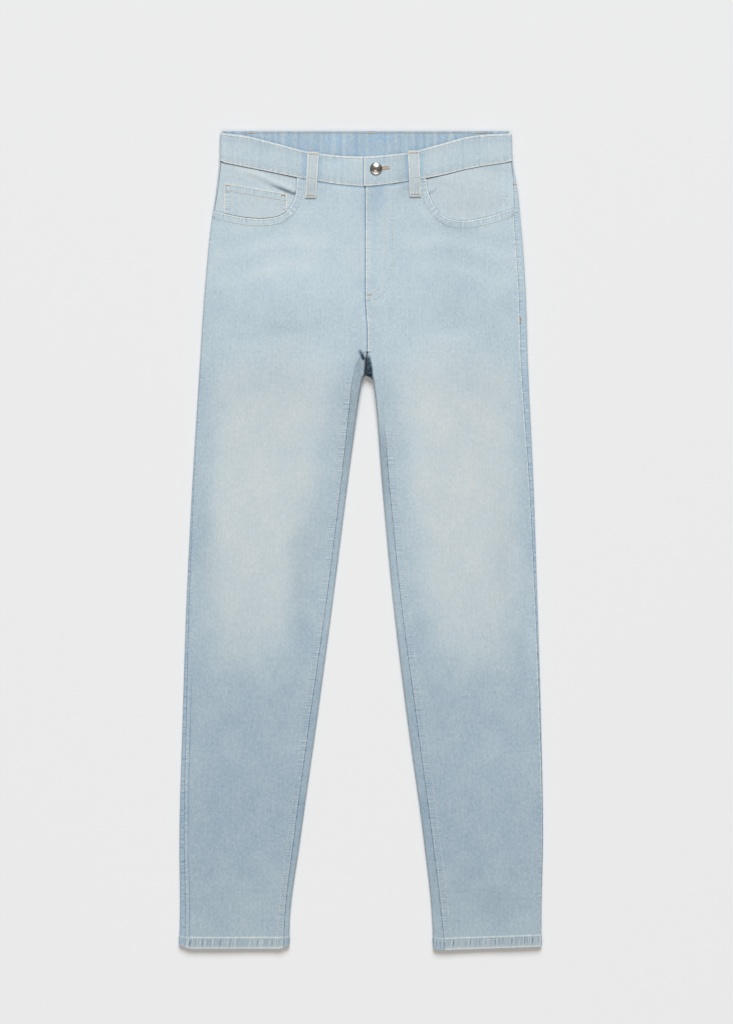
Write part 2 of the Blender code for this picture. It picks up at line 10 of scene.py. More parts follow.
import bmesh
import bpy
import numpy as np
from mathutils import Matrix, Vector
from mathutils.bvhtree import BVHTree

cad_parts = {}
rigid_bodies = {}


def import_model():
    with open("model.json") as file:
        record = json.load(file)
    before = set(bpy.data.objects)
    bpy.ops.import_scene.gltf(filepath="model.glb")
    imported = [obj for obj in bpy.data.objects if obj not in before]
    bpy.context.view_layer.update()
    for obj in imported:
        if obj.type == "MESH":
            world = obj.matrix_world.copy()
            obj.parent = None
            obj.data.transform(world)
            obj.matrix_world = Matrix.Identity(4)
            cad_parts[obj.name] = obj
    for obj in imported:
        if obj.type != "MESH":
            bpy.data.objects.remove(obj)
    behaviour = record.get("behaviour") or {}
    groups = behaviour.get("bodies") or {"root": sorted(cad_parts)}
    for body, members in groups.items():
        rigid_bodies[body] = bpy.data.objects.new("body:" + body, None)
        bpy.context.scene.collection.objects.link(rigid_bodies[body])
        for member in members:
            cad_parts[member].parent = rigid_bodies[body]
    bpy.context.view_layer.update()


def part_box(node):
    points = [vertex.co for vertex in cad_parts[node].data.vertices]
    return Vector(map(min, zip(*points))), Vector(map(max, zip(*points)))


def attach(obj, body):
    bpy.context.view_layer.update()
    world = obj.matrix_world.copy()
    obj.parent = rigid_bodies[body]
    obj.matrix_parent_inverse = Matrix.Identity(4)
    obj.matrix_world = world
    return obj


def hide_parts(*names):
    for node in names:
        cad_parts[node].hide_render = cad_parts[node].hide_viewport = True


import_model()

# The two fronts
#
# A front is one cut of light-wash twill for each leg. Its upper outer corner is cut away at the curved
# pocket mouth, whose edge is turned under and sewn down twice, and its foot is turned up into the hem.
MM = 0.001
CLOTH = 1.2
SEAM_GAP = 0.3
TUBE_HEIGHT = 6.4
RADIUS = TUBE_HEIGHT / 2
QUARTER = RADIUS * pi / 2
CENTRE = 6.0
BUTTON_X, BUTTON_DEPTH = 18.8, 47.6
button_low, button_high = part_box("button")
EAST = (button_low[0] + button_high[0]) / 2 - BUTTON_X * MM
NORTH = (button_low[1] + button_high[1]) / 2 + BUTTON_DEPTH * MM


def smooth(rows):
    """Dense smooth curves through a table's columns, over the places in its first column."""
    rows = np.array(rows, float)
    places = rows[:, 0]
    at = np.linspace(places[0], places[-1], 2000)
    k = np.clip(np.searchsorted(places, at, side="right") - 1, 0, len(places) - 2)
    span = places[k + 1] - places[k]
    t = (at - places[k]) / span
    curves = [at]
    for values in rows[:, 1:].T:
        slopes = np.gradient(values, places)
        curve = (2 * t**3 - 3 * t**2 + 1) * values[k] + (t**3 - 2 * t**2 + t) * span * slopes[k]
        curve += (3 * t**2 - 2 * t**3) * values[k + 1] + (t**3 - t**2) * span * slopes[k + 1]
        curves.append(curve)
    return np.array(curves)


def read(curves, column, at):
    return np.interp(at, curves[0], curves[column])


def ramp(value, start, end):
    """Soft step from 0 at start to 1 at end."""
    t = np.clip((np.asarray(value, float) - start) / (end - start), 0.0, 1.0)
    return t * t * (3 - 2 * t)


def hump(value, middle, half):
    """Soft hump of height 1 over middle, gone at half to either side."""
    t = np.clip(np.abs(np.asarray(value, float) - middle) / half, 0.0, 1.0)
    return (1 - t * t) ** 2


LIFT = smooth(
    [
        # depth, lift of the underside over the surface
        (-5, 1.8),
        (120, 1.8),
        (255, 1.8),
        (290, 0.95),
        (322, 0.05),
        (380, 0.0),
        (940, 0.0),
        (970, 0.05),
        (1003, 0.58),
        (1030, 0.6),
    ]
)
SIDES = smooth(
    [
        # depth, right edge, left edge, right seam in, left seam in
        (0, -176.0, 188.0, 0.6, 0.8),
        (40, -177.0, 190.0, 0.6, 0.9),
        (75, -181.0, 196.0, 0.7, 5.0),
        (110, -186.5, 199.5, 0.8, 8.0),
        (185, -194.0, 205.0, 1.0, 8.6),
        (285, -201.0, 208.5, 1.2, 8.6),
        (435, -210.5, 215.5, 2.2, 5.5),
        (585, -218.0, 220.5, 3.5, 3.0),
        (735, -223.0, 225.0, 4.7, 1.6),
        (885, -227.0, 227.5, 6.0, 1.0),
        (985, -226.5, 225.5, 7.0, 0.9),
        (1022, -227.5, 225.5, 7.3, 0.9),
    ]
)
INNERS = smooth(
    [
        # depth, right edge, left edge, right inseam, left inseam
        (277, 1.0, 15.0, 1.0, 11.0),
        (284, 1.5, 15.0, -3.0, 15.5),
        (295, 2.0, 15.0, -7.0, 20.0),
        (309, 1.5, 15.0, -10.5, 23.5),
        (335, -2.5, 18.0, -13.5, 26.5),
        (435, -16.0, 26.0, -24.5, 35.0),
        (585, -35.0, 40.0, -43.0, 50.0),
        (735, -55.0, 58.0, -64.0, 69.5),
        (885, -76.0, 78.5, -84.0, 89.5),
        (985, -89.0, 89.0, -95.5, 101.5),
        (1022, -90.0, 90.5, -97.0, 105.0),
    ]
)
WAIST = smooth(
    [
        # x, upper edge of the waistband, its seam to the fronts
        (-178, 2.5, 38.0),
        (-144, 6.5, 45.0),
        (-109, 15.0, 52.0),
        (-66, 26.0, 60.5),
        (-20, 31.5, 67.5),
        (6, 32.0, 69.0),
        (30, 30.5, 67.0),
        (59, 27.0, 62.5),
        (100, 16.5, 55.5),
        (131, 8.0, 48.0),
        (191, 3.0, 38.0),
    ]
)
MOUTHS = {
    "right": [
        # x, depth
        (-80, 57),
        (-82, 81),
        (-86.5, 92),
        (-92, 99.5),
        (-99, 105),
        (-117, 109.5),
        (-141, 109),
        (-186, 100),
    ],
    "left": [
        # x, depth
        (81, 58),
        (85, 79),
        (90.5, 92),
        (97, 101),
        (106, 108),
        (127, 112.5),
        (150, 109.5),
        (197, 95),
    ],
}
MOUTH_CORNER = 4
MIDDLE_DEPTH = 124.0
CROTCH = 276.0
FLY_UNDERLAP, FLY_BOTTOM, FLY_CLOSED, FLY_FLAT = 5.6, 206.0, 214.0, 236.0
FLY_WIDTH, FLY_LIFT, FLY_DIP = 33.0, 0.9, 0.8
HEM_TOP, HEM_LIFT, HEM_ROWS = 1007.5, 0.55, (1004.0, 1005.5, 1009.0, 1010.0)
# A grid's first row follows the seam above it, and its rows are level from ROWS_EVEN down.
ROWS_TOP, ROWS_EVEN = 112.0, 175.0
# A distance at which an edge or a crevice no longer marks the cloth.
FAR = 20.0


def path(points, steps=200):
    """Dense smooth path through a list of places on the cloth."""
    points = np.array(points, float)
    places = np.concatenate([[0], np.cumsum(np.hypot(*np.diff(points, axis=0).T))])
    curves = smooth(np.column_stack([places, points]))
    at = np.linspace(0, places[-1], steps)
    return np.column_stack([read(curves, k + 1, at) for k in range(points.shape[1])])


def distance(x, depth, line):
    """Distance of each place to a path, and how far along the path its nearest point lies."""
    near = np.full(np.shape(x), 1e9)
    along = np.zeros(np.shape(x))
    run = np.concatenate([[0], np.cumsum(np.hypot(*np.diff(line, axis=0).T))])
    for (px, pd), at in zip(line, run):
        d = np.hypot(x - px, depth - pd)
        closer = d < near
        near = np.where(closer, d, near)
        along = np.where(closer, at, along)
    return near, along


def round_fold(edge, inward, depth, arc, inset):
    """Places round a side fold: arc runs from the outermost point, positive over the top."""
    turn = np.clip(arc / RADIUS, -pi / 2, pi / 2)
    beyond = np.maximum(0.0, np.abs(arc) - QUARTER)
    radius = RADIUS - inset
    x = edge + inward * (RADIUS - radius * np.cos(turn) + beyond)
    return x, read(LIFT, 1, depth) + RADIUS + radius * np.sin(turn)


def drape(x, depth):
    """Slow unevenness of cloth lying in layers: long low swells down each leg."""
    lean = x + 0.06 * depth * np.sign(CENTRE - x)
    swell = 0.22 * np.sin(lean / 23.0 + 1.3) * np.sin(depth / 71.0 + 0.4)
    swell += 0.16 * np.sin(lean / 13.0 + depth / 97.0)
    swell += 0.12 * np.sin(depth / 37.0 + lean / 61.0 + 2.0)
    crotch = 7.0 * hump(np.hypot(x - 8.0, (depth - 305) / 1.8), 0, 72)
    return (swell + crotch) * ramp(depth, 60, 140)


class Leg:
    """The run of one leg's edges and seams."""

    def __init__(self, name):
        self.name = name
        self.sign = -1 if name == "right" else 1
        self.column = 1 if name == "right" else 2
        self.mouth = path(MOUTHS[name])
        self.hem = 1021.0 if name == "right" else 1022.0
        self.inseam_shows = 300.0 if name == "right" else 370.0
        self.dimples = 0.95 if name == "right" else 1.25

    def edge(self, depth):
        return read(SIDES, self.column, depth)

    def inner_edge(self, depth):
        return read(INNERS, self.column, depth)

    def inseam(self, depth):
        return read(INNERS, self.column + 2, depth)

    def opening(self, depth):
        """Half the gap at the inseam, which lies shut where the seam does not show."""
        return self.sign * SEAM_GAP / 2 * (0.1 + 0.9 * ramp(depth, self.inseam_shows, self.inseam_shows + 30))

    def seam_arc(self, depth):
        inward = read(SIDES, self.column + 2, depth)
        round_part = RADIUS * np.arccos(np.clip(1 - inward / RADIUS, -1, 1))
        return np.where(inward < RADIUS, round_part, QUARTER + inward - RADIUS)

    def round_side(self, depth, arc, inset):
        return round_fold(self.edge(depth), -self.sign, depth, arc, inset)

    def arc_at(self, depth, x):
        return QUARTER + np.abs(x - self.edge(depth)) - RADIUS

    def mouth_depth(self, x):
        order = np.argsort(self.mouth[:, 0])
        return np.interp(x, self.mouth[order, 0], self.mouth[order, 1])


RIGHT, LEFT = Leg("right"), Leg("left")


def put(name, data):
    """A new object in the scene."""
    thing = bpy.data.objects.new(name, data)
    bpy.context.scene.collection.objects.link(thing)
    return thing


def mesh_of(bm, name):
    mesh = bpy.data.meshes.new(name)
    bm.to_mesh(mesh)
    bm.free()
    return mesh


def weave_cloth(name, outer, inner, run, marks, absent=None):
    """One closed cloth wall between two skins, each given as x, depth and z, rows by columns.

    run is the thread coordinate across the cloth. marks holds values kept on the points: wear, the
    lightness from fading with painted shade in it, tone, rope, pucker, and the distances in millimetres to the
    nearest worn edge and the nearest crevice.
    """
    name = f"{name}_cloth"
    grain = np.stack([run * MM, -outer[1] * MM], axis=-1)
    outer, inner = places(*outer), places(*inner)
    rows, columns = outer.shape[:2]
    blank = np.zeros((rows, columns))
    marks = {"tone": blank, "rope": blank, "pucker": blank, "edge": blank + FAR, "pit": blank + FAR, **marks}
    bm = bmesh.new()
    bmesh.ops.create_grid(bm, x_segments=columns - 1, y_segments=rows - 1, size=0.5)
    cell = bm.verts.layers.int.new("cell")
    bm.verts.ensure_lookup_table()
    flat = outer.reshape(-1, 3)
    for index, vertex in enumerate(bm.verts):
        vertex[cell] = index
        vertex.co = flat[index]
    if absent is not None:
        bm.faces.ensure_lookup_table()
        gone = [bm.faces[index] for index in np.flatnonzero(absent.ravel())]
        bmesh.ops.delete(bm, geom=gone, context="FACES")
    made = bmesh.ops.extrude_face_region(bm, geom=bm.faces[:], use_keep_orig=True)
    flat = inner.reshape(-1, 3)
    for vertex in made["geom"]:
        if isinstance(vertex, bmesh.types.BMVert):
            vertex.co = flat[vertex[cell]]
    bmesh.ops.recalc_face_normals(bm, faces=bm.faces)
    mesh = mesh_of(bm, name)
    cells = np.zeros(len(mesh.vertices), int)
    mesh.attributes["cell"].data.foreach_get("value", cells)
    corners = np.zeros(len(mesh.loops), int)
    mesh.loops.foreach_get("vertex_index", corners)
    uv = mesh.uv_layers.new(name="grain")
    uv.data.foreach_set("uv", grain.reshape(-1, 2)[cells[corners]].ravel())
    for mark, values in marks.items():
        layer = mesh.attributes.new(mark, "FLOAT", "POINT")
        layer.data.foreach_set("value", values.ravel()[cells].astype(np.float32))
    mesh.shade_smooth()
    mesh.set_sharp_from_angle(angle=radians(50))
    return put(name, mesh)


def places(x, depth, z):
    """World places, with the hems' corners drawn up and the seam above the crotch a little out of line."""
    right = 5.5 * (1 - ramp(x, -231, -211)) + 4.5 * ramp(x, -104, -86) - 0.8
    left = -2.0 + 4.8 * (x - 90) / 136 + 3.0 * (1 - ramp(x, 86, 100))
    draw = np.where(x < CENTRE, right * ramp(depth, 1000, 1020), left * ramp(depth, 930, 1006))
    drift = 2.4 * ramp(depth, 205, 255) * (1 - ramp(depth, 272, 290)) * (1 - ramp(np.abs(x - CENTRE), 6, 60))
    return np.stack([(x + drift) * MM + EAST, NORTH - (depth - draw) * MM, z * MM + 0 * x], axis=-1)


CROTCH_FOLD = path([(-3.0, 275.8), (-1.4, 278.6), (0.6, 281.6), (2.8, 285.0)], 40)
WHISKERS = (
    # depth, how much lighter, half height
    (106, 0.022, 7),
    (124, -0.028, 6),
    (140, 0.030, 6),
    (157, -0.030, 7),
    (176, 0.024, 7),
)
WASH_AND_SHADE_PATCHES = (
    # middle x, middle depth, half width, half height, how much lighter
    (-105, 164, 42, 34, 0.042),
    (-52, 164, 28, 70, 0.024),
    (119, 172, 27, 74, -0.030),
    (70, 317, 46, 84, 0.046),
    (-50, 284, 24, 32, 0.042),
    (-155, 247, 22, 7, 0.028),
    (-155, 267, 26, 9, 0.034),
    (-95, 247, 32, 8, -0.036),
    (-100, 122, 36, 5, 0.018),
    (119, 119, 32, 6, -0.022),
    (119, 257, 34, 9, 0.036),
    (164, 156, 18, 9, 0.018),
    (168, 216, 20, 8, -0.020),
    (165, 830, 52, 160, 0.022),
    (192, 336, 15, 84, 0.022),
    (-128, 930, 38, 60, 0.020),
    (-80, 555, 13, 62, -0.072),
    (-190, 499, 15, 52, -0.034),
    (-118, 642, 34, 16, 0.024),
    (120, 640, 38, 18, 0.034),
    (12, 88, 15, 24, -0.075),
    (22, 70, 12, 10, -0.060),
    # The next two patches are painted shade beside the front loops.
    (62, 72, 16, 13, -0.110),
    (-60, 72, 18, 14, -0.075),
    (-100, 84, 14, 20, -0.070),
    (6, 190, 14, 8, -0.045),
    (-4, 288, 6, 15, -0.080),
    (-62, 490, 21, 74, -0.045),
    (-196, 545, 22, 55, -0.040),
    (26, 440, 9, 40, -0.050),
    (178, 510, 18, 74, -0.055),
    (-227, 800, 7, 110, 0.050),
    (-209, 365, 7, 50, 0.045),
    (213, 650, 7, 60, 0.040),
    (162, 966, 26, 22, -0.040),
)


def wash_and_shade(x, depth):
    """Wash of the legs: how light the cloth is, and how far it greys from blue.

    Thighs and knees are bleached to a warm grey, the hips are a clear pale blue, and the shins and the
    edges of each leg keep more of their dye. Painted shade is added too: the cloth along the crotch fold is
    darkened almost to black, and patches of painted shade lie beside the front loops.
    """
    leg = np.where(x < CENTRE, -1.0, 1.0)
    outer = np.where(leg < 0, read(SIDES, 1, depth), read(SIDES, 2, depth))
    inner = np.where(leg < 0, read(INNERS, 1, depth), read(INNERS, 2, depth))
    inner = np.where(depth < 290, CENTRE, inner)
    across = np.clip((x - inner) / (outer - inner), 0.0, 1.0)
    knee = ramp(depth, 540, 640)
    plateau = ramp(across, 0.04 + 0.10 * knee, 0.34 + 0.08 * knee)
    plateau = plateau * (1 - ramp(across, 0.78 - 0.12 * knee, 0.99 - 0.03 * knee))
    hip_fold = 0.035 * hump(depth, 236, 55)
    shin = 0.025 * ramp(depth, 780, 860) - 0.025 * ramp(depth, 930, 1000)
    middle = 0.52 - hip_fold + 0.045 * hump(depth, 450, 190) - 0.155 * ramp(depth, 585, 735) - shin
    edges = 0.515 - hip_fold - 0.085 * ramp(depth, 240, 340) - 0.06 * ramp(depth, 560, 735) - shin
    level = edges + (middle - edges) * plateau
    for line, lighter, height in WHISKERS:
        bow = line + 22 * (across - 0.5) + 5 * np.sin(across * 9)
        level = level + lighter * np.exp(-(((depth - bow) / height) ** 2)) * hump(across, 0.6, 0.5)
    for middle_x, middle_depth, width, height, lighter in WASH_AND_SHADE_PATCHES:
        level = level + lighter * np.exp(-(((x - middle_x) / width) ** 2) - ((depth - middle_depth) / height) ** 2)
    grey = 0.72 * plateau * ramp(depth, 240, 340) * (1 - ramp(depth, 610, 720))
    fly_blue = 0.6 * hump(np.hypot((x - 24) / 1.4, (depth - 84) / 2.0), 0, 13)
    fly_blue = fly_blue * (0.7 + 0.5 * np.sin(x / 2.1) * np.sin(depth / 3.3))
    beside_fly = ramp(depth, 84, 104) * (1 - ramp(depth, 184, 200))
    fly_crease = hump(x, 17.0, 4.5) * beside_fly
    fly_crease = fly_crease + 0.9 * hump(x, 32.5, 4.5) * hump(depth, 172, 26)
    fly_blue = fly_blue + 0.42 * fly_crease
    level = level + 0.03 * hump(x, 9.5, 5.0) * beside_fly
    # Painted shade: along the crotch fold the cloth is darkened almost to black, where the gap between the legs lies
    # in shadow.
    fold = 0.85 * (1 - ramp(distance(x, depth, CROTCH_FOLD)[0], 0.7, 2.9))
    grey = grey + 0.32 * ramp(depth, 880, 990)
    return (level + 0.012 * ramp(depth, 880, 990) - 0.09 * fly_blue) * (1 - fold), grey + 0.08 - fly_blue


def mark_seams(x, depth, lines):
    """Puckers in sewn welts: how far along the seam each place is, and how strong the pucker is there."""
    run = np.zeros(np.shape(x))
    strength = np.zeros(np.shape(x))
    for line, reach, force in lines:
        near, along = distance(x, depth, line)
        fall = force * (1 - ramp(near, reach - 2.0, reach + 1.0))
        stronger = fall > strength
        run = np.where(stronger, along, run)
        strength = np.where(stronger, fall, strength)
    return run, strength


def near_lines(x, depth, lines):
    """Distance of each place to the nearest of some lines, up to FAR."""
    near = np.full(np.shape(x), FAR)
    for line in lines:
        near = np.minimum(near, distance(x, depth, line)[0])
    return near


def inseam_line(leg, start=CROTCH):
    depth = np.arange(start, leg.hem, 3.0)
    return np.column_stack([leg.inseam(depth), depth])


def outseam_line(leg, start=42.0):
    depth = np.arange(start, leg.hem, 3.0)
    inward = read(SIDES, leg.column + 2, depth)
    return np.column_stack([leg.edge(depth) - leg.sign * inward, depth])


def waist_line():
    x = np.arange(-176.0, 189.0, 2.0)
    return np.column_stack([x, read(WAIST, 2, x)])


FLY_LINE = path([(39, 70), (39, 150), (38, 174), (33, 193), (25, 205), (8.5, 212.5)])
FLY_INNER_LINE = path([(30.5, 70), (30.5, 150), (29.5, 172), (26, 190), (20, 199), (8.5, 205)])
RISE_LINE = np.column_stack([np.full(70, CENTRE), np.linspace(70, CROTCH, 70)])


def front_end(leg, depth):
    """X of a front's inner end: the fly edge or the under end, then the inseam."""
    if leg.name == "right":
        upper = CENTRE - SEAM_GAP / 2 + FLY_UNDERLAP * (1 - ramp(depth, FLY_BOTTOM, FLY_CLOSED))
    else:
        upper = CENTRE + SEAM_GAP / 2 + 0 * depth
    below = leg.inseam(depth) + leg.opening(depth)
    return np.where(depth > CROTCH + 0.5, below, upper)


def front_relief(leg, x, depth):
    """Rise of a front's upper face over the lie of the tube: turned edges, fly, seams and hem."""
    near, _ = distance(x, depth, leg.mouth)
    rise = 0.45 * (1 - ramp(near, 8.2, 9.6))
    fade = 1 - ramp(depth, FLY_CLOSED, FLY_FLAT)
    if leg.name == "right":
        rise = rise - FLY_DIP * ramp(x, CENTRE - 10, CENTRE - 1) * fade
    else:
        inside, _ = distance(x, depth, FLY_LINE)
        shape = np.where((x < 39) & (depth < 205), 1.0, 0.0)
        rise = rise + FLY_LIFT * (1 - ramp(x, CENTRE + FLY_WIDTH - 1, CENTRE + FLY_WIDTH + 4)) * fade
        rise = rise - 0.12 * hump(inside, 0, 1.6) * shape
    seam = np.where(depth > CROTCH, np.abs(x - leg.inseam(depth)), FAR)
    rise = rise + 0.4 * (1 - ramp(seam, 7.0, 9.0)) * ramp(depth, leg.inseam_shows - 24, leg.inseam_shows + 10)
    below = np.where(depth > FLY_FLAT, np.abs(x - CENTRE), FAR)
    rise = rise + 0.35 * (1 - ramp(below, 7.0, 9.0)) * (1 - ramp(depth, CROTCH - 6, CROTCH))
    rise = rise + HEM_LIFT * ramp(depth, HEM_TOP - 0.6, HEM_TOP + 0.8)
    waist = depth - read(WAIST, 2, x)
    rise = rise - 0.45 * (1 - ramp(waist, 1.0, 8.0))
    return rise + drape(x, depth)


def front_rows(leg, columns_out, columns_in, rows_up, rows_down):
    """Grid of one front: each place's depth and arc, rows by columns, and the cells cut away beside the mouth."""
    corner_x, corner_depth = MOUTHS[leg.name][MOUTH_CORNER]

    def middle(x):
        share = np.clip((x - corner_x) / (CENTRE - corner_x), 0.0, 1.0)
        return corner_depth + (MIDDLE_DEPTH - corner_depth) * share

    def spread(depth, f):
        start = leg.seam_arc(depth) + SEAM_GAP / 2
        stop = leg.arc_at(depth, front_end(leg, depth))
        return start + (stop - start) * f

    start = leg.seam_arc(corner_depth) + SEAM_GAP / 2
    stop = leg.arc_at(corner_depth, front_end(leg, corner_depth))
    corner_f = (leg.arc_at(corner_depth, corner_x) - start) / (stop - start)
    outer_f = corner_f * np.linspace(0, 1, columns_out + 1) ** 1.35
    inner_f = corner_f + (1 - corner_f) * (1 - np.linspace(1, 0, columns_in + 1) ** 1.25)
    f = np.concatenate([outer_f, inner_f[1:]])
    arc = spread(np.full(f.shape, 110.0), f)
    x = leg.round_side(110.0, arc, 0.0)[0]
    outer_part = np.arange(len(f)) <= columns_out
    start_depth = np.where(outer_part, leg.mouth_depth(x), middle(x))
    start_depth[columns_out] = corner_depth
    depths, arcs = [], []
    for v in np.linspace(0, 1, rows_up + 1)[:-1]:
        step = v * np.argmin(np.hypot(leg.mouth[:, 0] - corner_x, leg.mouth[:, 1] - corner_depth))
        mouth_x, mouth_depth = (np.interp(step, np.arange(len(leg.mouth)), line) for line in leg.mouth.T)
        seam = read(WAIST, 2, mouth_x) + SEAM_GAP
        share = 0.0 if v == 0 else max((mouth_depth - seam) / (middle(mouth_x) - seam), 0.0)
        along = np.clip((x - x[columns_out]) / (x[-1] - x[columns_out]), 0.0, 1.0)
        row_x = mouth_x + (x[-1] - mouth_x) * along
        seam = read(WAIST, 2, row_x) + SEAM_GAP
        row_depth = seam + (middle(row_x) - seam) * share
        depths.append(row_depth)
        arcs.append(leg.arc_at(row_depth, row_x))
    level = np.concatenate(
        [
            np.linspace(ROWS_TOP, CROTCH, 56),
            np.linspace(CROTCH + 1, 309, 14),
            np.linspace(312, HEM_ROWS[0], rows_down - 90),
            np.linspace(HEM_ROWS[1], HEM_ROWS[2], 8),
            np.linspace(HEM_ROWS[3], leg.hem, 12),
        ]
    )
    for at in level:
        depth = at + (start_depth - ROWS_TOP) * (1 - ramp(at, ROWS_TOP, ROWS_EVEN))
        depths.append(depth)
        arcs.append(spread(depth, f))
    absent = np.zeros((len(depths) - 1, len(f) - 1), bool)
    absent[:rows_up, :columns_out] = True
    return np.array(depths), np.array(arcs), absent


def feed(tree, node, inputs):
    """Set a shader node's inputs: a number as it is, a socket as a link."""
    for key, value in inputs.items():
        if isinstance(value, bpy.types.NodeSocket):
            tree.links.new(value, node.inputs[key])
        else:
            node.inputs[key].default_value = value
    return node


def add_node(tree, kind, inputs, **settings):
    node = tree.nodes.new(kind)
    for key, value in settings.items():
        setattr(node, key, value)
    return feed(tree, node, inputs)


def colour_ramp(tree, level, stops):
    """Colour for a level, from positions and the colours there."""
    node = add_node(tree, "ShaderNodeValToRGB", {"Fac": level})
    elements = node.color_ramp.elements
    while len(elements) < len(stops):
        elements.new(0.5)
    for element, (position, colour) in zip(elements, stops):
        element.position = position
        element.color = (*colour, 1)
    return node.outputs["Color"]


def bumps(tree, height, strength, distance):
    inputs = {"Strength": strength, "Distance": distance, "Height": height}
    return add_node(tree, "ShaderNodeBump", inputs).outputs["Normal"]


def new_material(name):
    material = bpy.data.materials.new(name)
    material.use_nodes = True
    return material, material.node_tree


def denim(name):
    """Light-washed twill: bleached where worn, flecked by its weave, bleached at edges, and darker and bluer in
    crevices, from dye kept there and from painted shade. The wear level it reads also holds painted shade.
    """
    material, tree = new_material(name)

    def math(kind, a, b, clamp=False):
        return add_node(tree, "ShaderNodeMath", {0: a, 1: b}, operation=kind, use_clamp=clamp).outputs[0]

    def add_up(total, *parts):
        for value, share in parts:
            total = math("ADD", total, math("MULTIPLY", value, share))
        return total

    def noise(stretch, detail, rough):
        mapped = add_node(tree, "ShaderNodeMapping", {"Scale": (*stretch, 1), "Vector": grain})
        inputs = {"Scale": 1.0, "Detail": detail, "Roughness": rough, "Vector": mapped.outputs["Vector"]}
        return math("SUBTRACT", add_node(tree, "ShaderNodeTexNoise", inputs).outputs["Fac"], 0.5)

    def mark(attribute):
        return add_node(tree, "ShaderNodeAttribute", {}, attribute_name=attribute).outputs["Fac"]

    def near(distance, start, end):
        """1 up to start millimetres away, 0 from end on."""
        inputs = {"From Min": start, "From Max": end, "To Min": 1.0, "To Max": 0.0, "Value": distance}
        return add_node(tree, "ShaderNodeMapRange", inputs, interpolation_type="SMOOTHSTEP").outputs["Result"]

    def blend(factor, one, other):
        inputs = {"Factor": factor, "A": one, "B": other}
        return add_node(tree, "ShaderNodeMix", inputs, data_type="RGBA").outputs["Result"]

    grain = add_node(tree, "ShaderNodeUVMap", {}, uv_map="grain").outputs["UV"]
    rope, pucker = mark("rope"), mark("pucker")
    fleck = noise((600, 340), 2.0, 0.6)
    mottle = noise((300, 190), 3.0, 0.6)
    slub = noise((420, 36), 2.0, 0.5)
    cloud = noise((30, 24), 4.0, 0.6)
    inputs = {"W": math("MULTIPLY", rope, 0.34), "Scale": 1.0, "Detail": 1.0}
    bunch = add_node(tree, "ShaderNodeTexNoise", inputs, noise_dimensions="1D").outputs["Fac"]
    wave = math("MULTIPLY", math("SUBTRACT", bunch, 0.5), pucker)
    rim = near(mark("edge"), 0.8, 2.7)
    # Within 2 mm of a crevice the cloth is darker and bluer: partly dye that fading missed, partly painted shade.
    crevice = near(mark("pit"), 0.3, 2.0)

    bleached = math("SUBTRACT", 1.0, math("MULTIPLY", mark("tone"), 0.5))
    level = add_up(
        math("MULTIPLY", mark("wear"), 0.98),
        (math("MULTIPLY", fleck, bleached), 0.205),
        (mottle, 0.165),
        (slub, 0.075),
        (cloud, 0.15),
        (wave, 0.55),
        (pucker, -0.025),
        (rim, math("ADD", math("MULTIPLY", mottle, 0.35), 0.16)),
    )
    level = math("SUBTRACT", level, math("MULTIPLY", crevice, 0.20), clamp=True)
    tone = add_up(mark("tone"), (wave, 2.2), (crevice, -0.45), (pucker, -0.25), (rim, 0.5), (cloud, 0.8))

    shades = (
        # level, then the blue, the grey and the indigo there
        (0.0, (0.015, 0.022, 0.03), (0.015, 0.018, 0.02), (0.015, 0.03, 0.05)),
        (0.08, (0.08, 0.12, 0.165), (0.08, 0.10, 0.115), (0.08, 0.16, 0.26)),
        (0.20, (0.20, 0.29, 0.37), (0.20, 0.25, 0.28), (0.20, 0.34, 0.50)),
        (0.34, (0.34, 0.432, 0.503), (0.34, 0.415, 0.455), (0.34, 0.50, 0.65)),
        (0.52, (0.52, 0.627, 0.682), (0.52, 0.582, 0.600), (0.52, 0.67, 0.79)),
        (0.70, (0.70, 0.77, 0.79), (0.70, 0.73, 0.715), (0.70, 0.79, 0.84)),
        (0.85, (0.85, 0.87, 0.86), (0.85, 0.85, 0.82), (0.85, 0.88, 0.88)),
    )
    blue, grey, indigo = (colour_ramp(tree, level, [(row[0], row[k]) for row in shades]) for k in (1, 2, 3))
    washed = blend(math("MAXIMUM", tone, 0.0, clamp=True), blue, grey)
    bluer = math("MAXIMUM", math("MULTIPLY", tone, -1.0), 0.0, clamp=True)

    inputs = {"Scale": 420.0, "Distortion": 1.2, "Detail": 1.0, "Detail Scale": 3.0, "Vector": grain}
    twill = add_node(tree, "ShaderNodeTexWave", inputs, wave_type="BANDS", bands_direction="DIAGONAL").outputs["Fac"]
    height = math("MULTIPLY", twill, 0.00006)
    height = add_up(height, (mottle, 0.00025), (cloud, 0.0007), (wave, 0.0016))
    inputs = {
        "Base Color": blend(bluer, washed, indigo),
        "Normal": bumps(tree, height, 0.8, 1.0),
        "Roughness": 0.95,
        "Specular IOR Level": 0.12,
        "Sheen Weight": 0.12,
        "Sheen Roughness": 0.5,
    }
    feed(tree, tree.nodes["Principled BSDF"], inputs)
    return material


leg_denim = denim("leg_denim")


def sew(thing, node_names):
    thing.data.materials.append(leg_denim)
    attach(thing, "root")
    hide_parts(*node_names)
    return thing


def twist_hem(leg, x, depth, run, strength, twist):
    """Write the slanting rope twist of a washed hem over a panel's puckers."""
    hem_here = depth > HEM_TOP - 1.5
    run = np.where(hem_here, x * leg.dimples + depth * 0.12, run)
    return run, np.where(hem_here, 0.15 + twist, strength)


